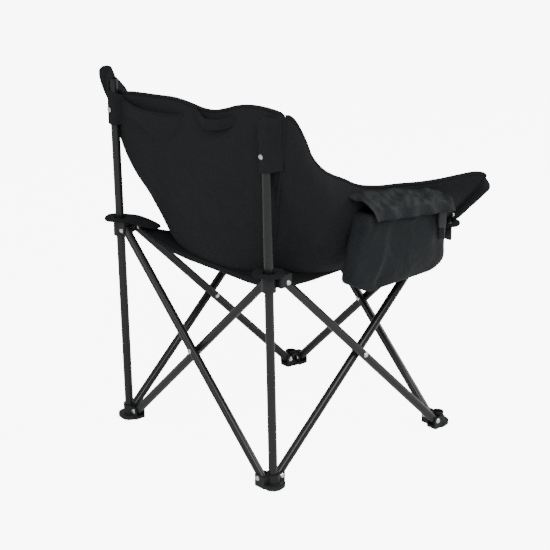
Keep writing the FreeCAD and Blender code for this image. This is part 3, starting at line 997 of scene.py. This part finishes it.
CORNER_SEAM = SmoothCurve(
    (
        (-0.130, 0.186, 0.446),
        (-0.163, 0.200, 0.486),
        (-0.200, 0.211, 0.545),
        (-0.228, 0.222, 0.592),
        (-0.250, 0.240, 0.640),
        (-0.268, 0.254, 0.690),
        (-0.284, 0.260, 0.740),
        (-0.296, 0.263, 0.800),
        (-0.300, 0.264, 0.866),
    )
)
BACK_FOOT = SmoothCurve(
    (
        (-0.130, 0.186, 0.446),
        (-0.070, 0.197, 0.440),
        (0.0, 0.200, 0.438),
        (0.070, 0.197, 0.440),
        (0.130, 0.186, 0.446),
    )
)
BACK_TOP = SmoothCurve(
    (
        (-0.300, 0.264, 0.866),
        (-0.243, 0.268, 0.869),
        (-0.195, 0.268, 0.865),
        (-0.152, 0.267, 0.855),
        (-0.113, 0.266, 0.841),
        (-0.079, 0.265, 0.831),
        (-0.028, 0.264, 0.827),
        (0.006, 0.264, 0.830),
        (0.059, 0.264, 0.832),
        (0.130, 0.265, 0.826),
        (0.204, 0.267, 0.819),
        (0.262, 0.268, 0.814),
        (0.286, 0.267, 0.822),
        (0.300, 0.264, 0.8396),
    )
)
SIDE_FOOT = SmoothCurve(
    (
        (-0.130, 0.186, 0.446),
        (-0.165, 0.145, 0.443),
        (-0.188, 0.080, 0.441),
        (-0.199, 0.000, 0.441),
        (-0.207, -0.100, 0.448),
        (-0.222, -0.190, 0.464),
        (-0.238, -0.246, 0.492),
    )
)
SIDE_RIM = SmoothCurve(
    (
        (-0.300, 0.264, 0.866),
        (-0.306, 0.254, 0.860),
        (-0.309, 0.241, 0.845),
        (-0.311, 0.228, 0.823),
        (-0.311, 0.215, 0.798),
        (-0.311, 0.203, 0.772),
        (-0.312, 0.186, 0.748),
        (-0.313, 0.166, 0.729),
        (-0.309, 0.139, 0.713),
        (-0.307, 0.103, 0.696),
        (-0.306, 0.060, 0.674),
        (-0.311, 0.002, 0.660),
        (-0.321, -0.055, 0.656),
        (-0.333, -0.110, 0.652),
        (-0.346, -0.165, 0.652),
        (-0.361, -0.210, 0.656),
        (-0.376, -0.242, 0.659),
        (-0.390, -0.264, 0.656),
    )
)
SIDE_FRONT = SmoothCurve(
    (
        (-0.238, -0.246, 0.492),
        (-0.272, -0.254, 0.526),
        (-0.308, -0.258, 0.563),
        (-0.345, -0.261, 0.601),
        (-0.374, -0.263, 0.632),
        (-0.390, -0.264, 0.656),
    )
)


@dataclass
class Bucket:
    """The back and the two sides of the sling, with bound edges.

    Attributes:
        shop: Finishes the pieces.
        binding: Radius of the bound edges.
    """

    shop: Workshop
    binding: float = 0.0045

    def build(self) -> None:
        """Makes the three panels and their bindings."""
        back = PaddedPanel(
            "sling_back",
            Patch(
                BACK_FOOT,
                BACK_TOP,
                CORNER_SEAM,
                CORNER_SEAM.mirrored().lowered(),
                swell=0.010,
            ),
            across=(0.24, 0.76),
            along=(0.62,),
            seed=3.1,
            steps=(64, 44),
        ).build()
        self.shop.place(back, Slot.SLING, "right_post", ["back_panel"], ACROSS)
        self._bind("back_top_binding", BACK_TOP, "right_post", ACROSS)
        for side, left in (("right", False), ("left", True)):
            body = f"{side}_post"
            foot, rim, seam, front = SIDE_FOOT, SIDE_RIM, CORNER_SEAM, SIDE_FRONT
            if left:
                foot, rim, seam, front = (
                    c.mirrored().lowered() for c in (foot, rim, seam, front)
                )
            panel = PaddedPanel(
                f"sling_side_{side}",
                Patch(foot, rim, seam, front, swell=0.010),
                along=(0.60,),
                seed=7.7 if left else 5.2,
            ).build()
            self.shop.place(panel, Slot.SLING, body, [f"side_panel_{side}"], BACKWARDS)
            self._bind(f"rim_binding_{side}", rim, body, BACKWARDS, 90)
            self._bind(f"front_binding_{side}", front, body, BACKWARDS)
            self._bind(f"corner_welt_{side}", seam, body, BACKWARDS)

    def _bind(
        self, name: str, path: SmoothCurve, body: str, flat: Flattening, steps: int = 60
    ) -> None:
        """Makes one bound edge.

        Args:
            name: Name of the piece.
            path: The edge.
            body: CAD body that it moves with.
            flat: How it would flatten; the workshop only gives the edge a mesh of its own.
            steps: Steps along the edge.
        """
        rope = Mesher.rope(name, path, self.binding, steps)
        self.shop.place(rope, Slot.WEBBING, body, flat=flat, subdivide=False)


@dataclass
class SeatBase:
    """The padded seat, slung from the four hubs, with a crease where it folds.

    Attributes:
        shop: Finishes the pieces.
        corner: Half of the distance between the seat's corners.
        corner_z: Height of the corners.
        hem_z: Height of the middle of a hem.
        middle_z: Height of the middle of the seat.
        hem_inset: How far a hem curves inwards.
    """

    shop: Workshop
    corner: float = 0.236
    corner_z: float = 0.488
    hem_z: float = 0.450
    middle_z: float = 0.446
    hem_inset: float = 0.019

    def build(self) -> None:
        """Makes the two halves."""
        for part, sign in (("rear", 1.0), ("front", -1.0)):
            panel = PaddedPanel(
                f"seat_cushion_{part}",
                self._patch(sign),
                thickness=0.034,
                edge=0.008,
                across=(0.27, 0.5, 0.73),
                seed=11.0 + sign,
                steps=(56, 30),
                crease=0.002,
            ).build()
            self.shop.place(panel, Slot.SEAT, f"seat_{part}", [f"seat_{part}"], ACROSS)
            rope = Mesher.rope(f"seat_hem_{part}", self._hem(sign), 0.004, 50)
            self.shop.place(
                rope, Slot.WEBBING, f"seat_{part}", flat=ACROSS, subdivide=False
            )

    def _hem(self, sign: float) -> SmoothCurve:
        """Gives the front or rear hem.

        Args:
            sign: 1 for the rear and -1 for the front.

        Returns:
            The hem, from right to left.
        """
        c, inset = self.corner, self.hem_inset
        return SmoothCurve(
            tuple(
                (
                    -c * s,
                    sign * (c - inset * (1 - s * s)),
                    self.hem_z + (self.corner_z - self.hem_z) * abs(s) ** 4,
                )
                for s in (1.0, 0.92, 0.8, 0.5, 0.25, 0.0, -0.25, -0.5, -0.8, -0.92, -1.0)
            )
        )

    def _patch(self, sign: float) -> Patch:
        """Gives the middle surface of one half.

        Args:
            sign: 1 for the rear and -1 for the front.

        Returns:
            The surface, with the crease as its lower edge.
        """
        c, gap = self.corner, 0.0012
        side = tuple(
            (
                -(c - self.hem_inset * (1 - t * t)),
                sign * max(c * t, gap),
                self.hem_z + (self.corner_z - self.hem_z) * t**4,
            )
            for t in (0.0, 0.25, 0.5, 0.8, 0.92, 1.0)
        )
        edge = c - self.hem_inset
        crease = tuple(
            (
                -edge * s,
                sign * gap,
                self.middle_z + (self.hem_z - self.middle_z) * abs(s),
            )
            for s in (1.0, 0.5, 0.0, -0.5, -1.0)
        )
        return Patch(
            SmoothCurve(crease),
            self._hem(sign),
            SmoothCurve(side),
            SmoothCurve(side).mirrored(),
            swell=0.004,
            centre=(0.0, 0.0, 1.0),
        )


@dataclass
class CornerTabs:
    """Webbing corners of the seat, each looped round the tube above its hub.

    Attributes:
        shop: Finishes the pieces.
        post: Distance of the post axes from the middle.
        height: Height of the webbing.
        reach: How far the loop stands out round the post.
        rear_tongue: How far a rear tab runs in towards the seat.
        front_tongue: How far a front tab runs in towards the seat.
    """

    shop: Workshop
    post: float = 0.263
    height: float = 0.5106
    reach: float = 0.036
    rear_tongue: float = 0.098
    front_tongue: float = 0.060

    def build(self) -> None:
        """Makes the four tabs."""
        for name, sx, sy in (
            ("rear_right", -1, 1),
            ("rear_left", 1, 1),
            ("front_right", -1, -1),
            ("front_left", 1, -1),
        ):
            self._tab(name, sx, sy)

    def _tab(self, name: str, sx: int, sy: int) -> None:
        """Makes one tab.

        Args:
            name: Corner of the chair.
            sx: Side of the chair.
            sy: 1 at the rear and -1 at the front.
        """
        rear = sy > 0
        centre_x = sx * (self.post if rear else self.post + 0.002)
        centre_y = sy * (self.post + (0.0137 if rear else 0.003))
        hole = 0.0125 if rear else 0.0165
        inward = math.atan2(-sy, -sx)
        tongue = self.rear_tongue if rear else self.front_tongue

        def shape(u: np.ndarray, v: np.ndarray) -> np.ndarray:
            """Gives the tab's surface, round the post by u and round its section by v."""
            turn = 2 * np.pi * u
            off = np.cos(turn - inward)
            outer = self.reach + (tongue - self.reach) * np.clip(off, 0, 1) ** 7
            section = 2 * np.pi * v
            reach = (hole + outer) / 2 - (outer - hole) / 2 * np.sign(
                np.cos(section)
            ) * np.abs(np.cos(section)) ** 0.6
            thick = 0.0024 * np.sign(np.sin(section)) * np.abs(np.sin(section)) ** 0.5
            drop = 0.020 * smooth_step((reach - 0.02) / 0.08) * np.clip(off, 0, 1) ** 2
            wave = 0.0016 * np.sin(3 * turn + 1.0) * smooth_step((reach - hole) / 0.03)
            return np.stack(
                (
                    centre_x + reach * np.cos(turn),
                    centre_y + reach * np.sin(turn),
                    self.height - drop + wave + thick,
                ),
                axis=1,
            )

        tab = Mesher.closed(f"corner_loop_{name}", 64, 16, shape)
        self.shop.place(tab, Slot.WEBBING, f"hub_{name}", [f"corner_tab_{name}"])
        Workshop.declare_sheet(
            tab, "stretched", [f"hub_{name}"], (0.085, self.reach + tongue)
        )


@dataclass
class PostSleeves:
    """Pockets of the sling that slip over the tops of the two rear posts.

    Attributes:
        shop: Finishes the pieces.
        post_x: Distance of the posts from the middle.
        lean: Rearward lean of the posts.
        low: Height of its open end.
        high: Height of its closed end.
    """

    shop: Workshop
    post_x: float = 0.263
    lean: float = 0.026
    low: float = 0.738
    high: float = 0.870

    def build(self) -> None:
        """Makes the two pockets."""
        for side, sign in (("right", -1.0), ("left", 1.0)):
            sleeve = Mesher.slab(
                f"post_pocket_{side}",
                36,
                26,
                lambda u, v, s=sign: self._face(u, v, s, 0.0030),
                lambda u, v, s=sign: self._face(u, v, s, 0.0),
            )
            self.shop.place(
                sleeve, Slot.SLING, f"{side}_post", [f"post_sleeve_{side}"]
            )
            Workshop.declare_sheet(
                sleeve,
                "stretched",
                [f"post_{side}"],
                (0.125, self.high - self.low + 0.01),
            )

    def _face(self, u: np.ndarray, v: np.ndarray, sign: float, out: float) -> np.ndarray:
        """Gives one face of a pocket.

        Args:
            u: From the inner edge, 0, to the outer edge, 1.
            v: From the open end, 0, to the closed end, 1.
            sign: Side of the chair.
            out: How far the face stands outwards.

        Returns:
            One point for each pair.
        """
        a = 2 * u - 1
        if sign < 0:
            outer = 0.031 - 0.006 * v**3
            inner = 0.053 - 0.014 * v**3
            across = a * np.where(a > 0, outer, inner) + 0.010 * v**2
            dome = 0.026 * np.abs(a) ** 3.5 * smooth_step((v - 0.4) / 0.6) + 0.012 * v**2
        else:
            outer = 0.018 + 0.034 * smooth_step(v / 0.9)
            inner = 0.042 - 0.044 * smooth_step((v - 0.44) / 0.18)
            across = a * np.where(a > 0, outer, inner)
            bow = np.abs(across - 0.028) / 0.030
            dome = 0.024 * np.clip(bow, 0, 1) ** 2.4 * smooth_step((v - 0.6) / 0.4)
        z = self.low + (self.high - self.low) * v + 0.006 * a**2 * (1 - v) - dome
        base = 0.2700 + 0.014 * sign * smooth_step((across - 0.010) / 0.04)
        tube = 0.263 + self.lean * z + 0.0108
        near = np.exp(-((across / 0.0185) ** 4))
        taper = 1 - smooth_step((v - 0.90) / 0.10)
        wrinkle = 0.0012 * np.sin(2 * np.pi * (3.2 * v + 0.7 * u)) * near
        wrinkle = wrinkle * smooth_step((v - 0.25) / 0.3)
        y = base + (tube - base) * near * (0.25 + 0.75 * taper) + wrinkle + out
        x = sign * (self.post_x + across)
        return np.stack((x, y, z), axis=1)


@dataclass
class ArmPockets:
    """Padded pockets of the arms that slip over the front tube ends.

    Attributes:
        shop: Finishes the pieces.
        pin: Place of the hub pins, from the middle and from the floor.
        planes: Depth of the two tubes.
        angle: Slope of the tubes.
        start: Distance of the pocket's open end from the hub pin.
        end: Distance of its closed end.
    """

    shop: Workshop
    pin: tuple[float, float] = (0.240, 0.488)
    planes: tuple[float, float] = (-0.2765, -0.2555)
    angle: float = 0.7685
    start: float = 0.058
    end: float = 0.203

    def build(self) -> None:
        """Makes the two pockets."""
        for side, sign, plane in (
            ("right", -1.0, self.planes[0]),
            ("left", 1.0, self.planes[1]),
        ):

            def shape(u: np.ndarray, v: np.ndarray) -> np.ndarray:
                """Gives the pocket's surface, along the tube by u and round it by v."""
                along = self.start + (self.end - self.start) * u
                turn = 2 * np.pi * v
                cap = np.sqrt(np.clip(1 - np.clip((u - 0.90) / 0.10, 0, 1) ** 2, 0, 1))
                mouth = np.where(u < 1e-6, 0.0, 1.0)
                tall = 0.0190 * cap * mouth
                deep = 0.0140 * cap * mouth
                c, s = np.cos(turn), np.sin(turn)
                upward = np.sign(c) * np.abs(c) ** 0.8 * tall + 0.0075
                inward = np.sign(s) * np.abs(s) ** 0.8 * deep
                wave = 0.0008 * np.sin(14 * u + 4 * v) * mouth * cap
                run, rise = math.cos(self.angle), math.sin(self.angle)
                x = self.pin[0] + along * run - upward * rise
                z = self.pin[1] + along * rise + upward * run
                return np.stack((sign * x, plane + inward + wave, z), axis=1)

            pocket = Mesher.closed(f"arm_end_pocket_{side}", 36, 24, shape)
            self.shop.place(
                pocket, Slot.SLING, f"{side}_arm_tube", [f"arm_pocket_{side}"]
            )


@dataclass
class BackPocket:
    """A slack pocket sewn to the back, with its mouth hanging open.

    Attributes:
        shop: Finishes the piece.
        left: Edge towards the left post.
        right: Edge towards the middle.
    """

    shop: Workshop
    left: float = 0.250
    right: float = 0.022

    def build(self) -> None:
        """Makes the pocket and its hem."""
        pocket = Mesher.slab(
            "phone_pocket",
            44,
            26,
            lambda u, v: self._face(u, v, 0.0028),
            lambda u, v: self._face(u, v, 0.0),
        )
        self.shop.place(pocket, Slot.SLING, "right_post", ["back_pocket"], ACROSS)
        Workshop.declare_sheet(pocket, "hung", ["sling_back"], (0.25, 0.095))
        t = np.linspace(0, 1, 16)
        hem = self._face(t, np.ones_like(t), 0.0014)
        rope = Mesher.rope(
            "pocket_hem", SmoothCurve(tuple(tuple(p) for p in hem)), 0.0026, 50
        )
        self.shop.place(rope, Slot.WEBBING, "right_post", flat=ACROSS, subdivide=False)

    def _face(self, u: np.ndarray, v: np.ndarray, out: float) -> np.ndarray:
        """Gives one face of the pocket.

        Args:
            u: From the edge near the middle, 0, to the left edge, 1.
            v: From the bottom, 0, to the mouth, 1.
            out: How far the face stands outwards.

        Returns:
            One point for each pair.
        """
        side = np.sin(np.pi * np.clip(u, 0, 1)) ** 0.6
        x = self.right + (self.left - self.right) * u
        x = x + 0.018 * (1 - v) * np.clip(1 - 4 * u, 0, 1)
        top = 0.806 - 0.012 * side
        low = 0.748 - 0.034 * np.exp(-(((u - 0.28) / 0.26) ** 2))
        z = low + (top - low) * v
        sag = 0.019 * side * v**0.8 + 0.006 * side * np.sin(np.pi * v)
        folds = 0.0022 * np.sin(9.0 * u + 2.0 * v) * side * v
        y = 0.2705 + sag + folds + out
        return np.stack((x, y, z), axis=1)


@dataclass
class GrabHandle:
    """A webbing handle at the top of the back.

    Attributes:
        shop: Finishes the piece.
        width: Width of the webbing.
    """

    shop: Workshop
    width: float = 0.024

    def build(self) -> None:
        """Makes the strap."""
        path = SmoothCurve(
            (
                (-0.178, 0.2715, 0.838),
                (-0.158, 0.2730, 0.829),
                (-0.130, 0.2840, 0.816),
                (-0.095, 0.2900, 0.808),
                (-0.060, 0.2860, 0.806),
                (-0.034, 0.2750, 0.811),
                (-0.014, 0.2715, 0.816),
            )
        )

        def face(u: np.ndarray, v: np.ndarray, out: float) -> np.ndarray:
            """Gives one face of the strap, along it by u and across it by v."""
            place = path.at(u)
            curl = 0.0015 * (2 * v - 1) ** 2
            place[:, 2] += (v - 0.5) * self.width
            place[:, 1] += out - curl
            return place

        strap = Mesher.slab(
            "grab_strap",
            40,
            8,
            lambda u, v: face(u, v, 0.0032),
            lambda u, v: face(u, v, 0.0),
        )
        self.shop.place(strap, Slot.WEBBING, "grab_handle", ["grab_handle"], ACROSS)
        Workshop.declare_sheet(strap, "hung", ["sling_back"], (self.width, 0.190))


@dataclass
class CoolerBag:
    """An insulated bag under the right arm, with a soft lid and a strap.

    Attributes:
        shop: Finishes the pieces.
    """

    shop: Workshop

    def build(self) -> None:
        """Makes the bag, its lid, and its strap with a buckle."""
        bag = Mesher.closed("cooler_bag_body", 96, 40, self._body)
        self.shop.place(bag, Slot.BAG, "right_post", ["cooler_bag"], BACKWARDS)
        lid = Mesher.slab(
            "cooler_bag_lid",
            64,
            24,
            lambda u, v: self._lid(u, v, 0.0045),
            lambda u, v: self._lid(u, v, 0.0),
        )
        self.shop.place(lid, Slot.BAG, "bag_lid", ["bag_lid"], BACKWARDS)
        self._strap()

    @staticmethod
    def _frame(s: np.ndarray, d: np.ndarray, h: np.ndarray) -> np.ndarray:
        """Turns places in the bag into places in the row.

        Args:
            s: From the rear end, 0, to the front end, 1.
            d: From the arm, 0, to the outer face, 1.
            h: From the floor of the bag, 0, to its rim, 1.

        Returns:
            One point for each triple.
        """
        rear = 0.109 - (0.034 + 0.018 * np.clip(d, 0, 1)) * np.clip(h, 0, 1)
        y = rear + (-0.154 - rear) * s
        low = 0.444 + 0.018 * s + 0.022 * np.clip(1 - s / 0.16, 0, 1) ** 1.5
        high = 0.622 - 0.016 * s
        x = -(0.297 + 0.022 * s) - 0.063 * d - 0.003 * np.sin(np.pi * h) * d
        return np.stack((x, y, low + (high - low) * h), axis=1)

    def _body(self, u: np.ndarray, v: np.ndarray) -> np.ndarray:
        """Gives the bag's surface, outside and inside.

        Args:
            u: Once round the bag.
            v: From the middle of the underside, up the outside, over the rim and down
                the inside to the middle of its floor.

        Returns:
            One point for each pair.
        """
        turn = 2 * np.pi * u
        c, s = np.cos(turn), np.sin(turn)
        box_s = 0.5 + 0.5 * np.sign(c) * np.abs(c) ** 0.30
        box_d = 0.5 + 0.5 * np.sign(s) * np.abs(s) ** 0.42
        outside = v < 0.5
        w = np.where(outside, v * 2, (1 - v) * 2)
        spread = np.clip(w / 0.24, 0, 1)
        height = np.clip((w - 0.20) / 0.80, 0, 1)
        spread = np.sin(0.5 * np.pi * spread) ** 0.55
        shrink = np.where(outside, 1.0, 0.93)
        depth_shrink = np.where(outside, 1.0, 0.86)
        place_s = 0.5 + (box_s - 0.5) * spread * shrink
        place_d = 0.5 + (box_d - 0.5) * spread * depth_shrink
        floor = np.where(outside, 0.0, 0.028)
        corner = 0.5 * (1 - np.cos(np.pi * np.clip(height * 4, 0, 1)))
        place_h = floor + (1 - floor) * height
        place = self._frame(place_s, place_d, place_h)
        front = smooth_step((place_s - 0.80) / 0.2) * (1 - corner)
        place[:, 2] += 0.012 * front
        face = smooth_step((place_d - 0.55) / 0.4)
        tuck_a = np.exp(-(((place_s - 0.22 - 0.09 * place_h) / 0.026) ** 2))
        tuck_b = np.exp(-(((place_s - 0.66 + 0.09 * place_h) / 0.024) ** 2))
        run = np.sin(np.pi * np.clip(place_h * 1.05, 0, 1)) ** 0.5
        billow = 0.006 * np.sin(np.pi * np.clip(place_s, 0, 1)) * run
        loose = ripple(place, 22.0, 2.4) + 0.5 * ripple(place, 48.0, 5.1)
        push = face * (billow - 0.0130 * (tuck_a + tuck_b) * run + 0.0055 * loose * run)
        place[:, 0] -= push
        return place

    def _lid(self, u: np.ndarray, v: np.ndarray, out: float) -> np.ndarray:
        """Gives one face of the ruffled lid.

        Args:
            u: From the rear end, 0, to the front end, 1.
            v: From the arm, 0, over the bag, to the hem of the skirt, 1.
            out: How far the face stands outwards.

        Returns:
            One point for each pair.
        """
        over = np.clip(v / 0.72, 0, 1)
        skirt = np.clip((v - 0.72) / 0.28, 0, 1)
        s = -0.03 + 1.03 * u
        x = -(0.290 + 0.022 * s) - 0.077 * over - 0.004 * skirt
        rear = 0.104 - 0.044 * over
        y = rear + (-0.156 - rear) * s
        arch = 0.008 * np.sin(np.pi * over) + (0.034 - 0.020 * s) * (1 - over)
        z = 0.6265 - 0.014 * s + arch - 0.022 * skirt**1.2
        place = np.stack((x, y, z), axis=1)
        crumple = 0.0090 * ripple(place, 26.0, 8.0) + 0.0050 * ripple(place, 60.0, 1.0)
        ruffle = 0.0035 * np.sin(26.0 * u + 2.0 * v) * skirt
        lift = smooth_step(over / 0.3)
        place[:, 2] += crumple * lift * (1 - skirt) + out * (1 - 0.7 * skirt) + 0.003 * lift
        place[:, 0] -= ruffle + out * 0.8 * skirt + 0.004 * skirt
        return place

    def _strap(self) -> None:
        """Makes the closing strap near the front end, and its buckle."""
        path = SmoothCurve(
            (
                (-0.3785, -0.122, 0.611),
                (-0.3850, -0.123, 0.598),
                (-0.3865, -0.124, 0.575),
                (-0.3870, -0.125, 0.550),
                (-0.3865, -0.125, 0.532),
            )
        )

        def face(u: np.ndarray, v: np.ndarray, out: float) -> np.ndarray:
            """Gives one face of the strap, along it by u and across it by v."""
            place = path.at(u)
            place[:, 1] += (v - 0.5) * 0.018
            place[:, 0] -= out
            return place

        strap = Mesher.slab(
            "bag_strap",
            24,
            6,
            lambda u, v: face(u, v, 0.0022),
            lambda u, v: face(u, v, 0.0),
        )
        self.shop.place(strap, Slot.WEBBING, "right_post", flat=BACKWARDS)
        Workshop.declare_sheet(strap, "hung", ["cooler_bag_body"], (0.018, 0.082))

        def power(x: np.ndarray, e: float) -> np.ndarray:
            """Gives the power of the size of x, with the sign of x."""
            return np.sign(x) * np.abs(x) ** e

        def block(u: np.ndarray, v: np.ndarray) -> np.ndarray:
            """Gives the buckle's surface, round it by u and up it by v."""
            a, b = 2 * np.pi * u, np.pi * (v - 0.5)
            return np.stack(
                (
                    -0.3895 + 0.0035 * power(np.cos(b) * np.cos(a), 0.4),
                    -0.1235 + 0.0125 * power(np.cos(b) * np.sin(a), 0.4),
                    0.578 + 0.019 * power(np.sin(b), 0.5),
                ),
                axis=1,
            )

        buckle = Mesher.closed("strap_buckle", 24, 12, block)
        self.shop.place(buckle, Slot.PLASTIC, "right_post", flat=BACKWARDS)


@dataclass
class MetalFrame:
    """The CAD nodes that stay: tubes, posts, feet, hubs, rivets and washers.

    Attributes:
        nodes: The CAD nodes by name.
        record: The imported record.
        finishes: The materials.
    """

    nodes: dict[str, bpy.types.Object]
    record: dict
    finishes: FinishLibrary

    def build(self) -> None:
        """Gives each shown node its finish and softens the moulded edges."""
        slots = {
            part["node"]: Slot(part["material_slot"]) for part in self.record["subparts"]
        }
        for name, thing in self.nodes.items():
            slot = slots[name]
            if slot not in HARDS:
                continue
            thing.data.materials.clear()
            thing.data.materials.append(self.finishes.materials[slot])
            if slot is Slot.PLASTIC:
                weld = thing.modifiers.new("weld", "WELD")
                weld.merge_threshold = 1e-5
                bevel = thing.modifiers.new("bevel", "BEVEL")
                bevel.width = 0.0012
                bevel.segments = 3
                bevel.limit_method = "ANGLE"
                bevel.angle_limit = math.radians(40)
                bevel.harden_normals = False
            for polygon in thing.data.polygons:
                polygon.use_smooth = True
            LOG.info("%s keeps its CAD shape in %s", name, slot.value)


@dataclass
class Studio:
    """Pale floor, soft lights and the camera.

    Attributes:
        azimuth: Camera's direction round the chair, in degrees.
        elevation: Camera's height above the horizon, in degrees.
        distance: Camera's distance from its target, in metres.
        lens: Focal length, in millimetres.
        target: Point that it looks at.
        ambient: Strength of the light from all round.
        backdrop: Brightness of the pale backdrop as it is seen.
    """

    azimuth: float = 228.48
    elevation: float = 19.42
    distance: float = 4.521
    lens: float = 125.1
    target: Point = (0.0286, 0.0, 0.3662)
    ambient: float = 0.40
    backdrop: float = 8.0

    def build(self) -> None:
        """Makes the floor, the world, the lights and the camera."""
        self._floor()
        self._world()
        self._light("key", (-2.6, 1.4, 3.0), 90.0, 2.2)
        self._light("fill", (0.8, 3.4, 2.2), 50.0, 2.6)
        self._light("rim", (-1.6, -3.0, 2.6), 90.0, 1.8)
        self._camera()

    def _floor(self) -> None:
        """Makes the pale floor."""
        bm = bmesh.new()
        bmesh.ops.create_grid(bm, x_segments=1, y_segments=1, size=30.0)
        mesh = bpy.data.meshes.new("floor")
        bm.to_mesh(mesh)
        bm.free()
        floor = bpy.data.objects.new("floor", mesh)
        bpy.context.scene.collection.objects.link(floor)
        material = bpy.data.materials.new("floor")
        material.use_nodes = True
        shader = material.node_tree.nodes["Principled BSDF"]
        shader.inputs["Base Color"].default_value = (0.92, 0.92, 0.92, 1.0)
        shader.inputs["Roughness"].default_value = 0.9
        shader.inputs["Emission Color"].default_value = (1.0, 1.0, 1.0, 1.0)
        glow = self._seen(material.node_tree, 0.0, self.backdrop)
        material.node_tree.links.new(glow, shader.inputs["Emission Strength"])
        floor.data.materials.append(material)

    @staticmethod
    def _seen(tree: bpy.types.NodeTree, lit: float, shown: float) -> bpy.types.NodeSocket:
        """Gives a strength that differs between what lights and what shows.

        Args:
            tree: Node tree to work in.
            lit: Strength that lights the chair.
            shown: Strength that shows behind it.

        Returns:
            The strength.
        """
        path = tree.nodes.new("ShaderNodeLightPath")
        scale = tree.nodes.new("ShaderNodeMapRange")
        scale.inputs["To Min"].default_value = lit
        scale.inputs["To Max"].default_value = shown
        tree.links.new(path.outputs["Is Camera Ray"], scale.inputs["Value"])
        return scale.outputs["Result"]

    def _world(self) -> None:
        """Makes an even, pale surround."""
        world = bpy.data.worlds.new("studio")
        world.use_nodes = True
        shade = world.node_tree.nodes["Background"]
        shade.inputs["Color"].default_value = (1.0, 1.0, 1.0, 1.0)
        strength = self._seen(world.node_tree, self.ambient, self.backdrop)
        world.node_tree.links.new(strength, shade.inputs["Strength"])
        bpy.context.scene.world = world

    @staticmethod
    def _light(name: str, place: Point, power: float, size: float) -> None:
        """Makes one soft light that points at the chair.

        Args:
            name: Name of the light.
            place: Where it stands.
            power: Power in watts.
            size: Width in metres.
        """
        data = bpy.data.lights.new(name, "AREA")
        data.energy, data.size = power, size
        lamp = bpy.data.objects.new(name, data)
        lamp.location = place
        lamp.rotation_euler = (
            (Vector((0.0, 0.0, 0.5)) - Vector(place)).to_track_quat("-Z", "Y").to_euler()
        )
        bpy.context.scene.collection.objects.link(lamp)

    def _camera(self) -> None:
        """Makes the camera."""
        a, e = math.radians(self.azimuth), math.radians(self.elevation)
        away = Vector(
            (math.sin(a) * math.cos(e), -math.cos(a) * math.cos(e), math.sin(e))
        )
        data = bpy.data.cameras.new("camera")
        data.lens, data.sensor_width = self.lens, 36.0
        data.clip_end = 100.0
        camera = bpy.data.objects.new("camera", data)
        camera.location = Vector(self.target) + away * self.distance
        camera.rotation_euler = away.to_track_quat("Z", "Y").to_euler()
        bpy.context.scene.collection.objects.link(camera)
        bpy.context.scene.camera = camera


def main() -> None:
    """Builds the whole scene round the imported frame."""
    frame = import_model()
    finishes = FinishLibrary().build()
    shop = Workshop(finishes)
    MetalFrame(frame["nodes"], frame["record"], finishes).build()
    for assembly in (
        Bucket(shop),
        SeatBase(shop),
        CornerTabs(shop),
        PostSleeves(shop),
        ArmPockets(shop),
        BackPocket(shop),
        GrabHandle(shop),
        CoolerBag(shop),
        Studio(),
    ):
        assembly.build()


if __name__ == "__main__":
    main()
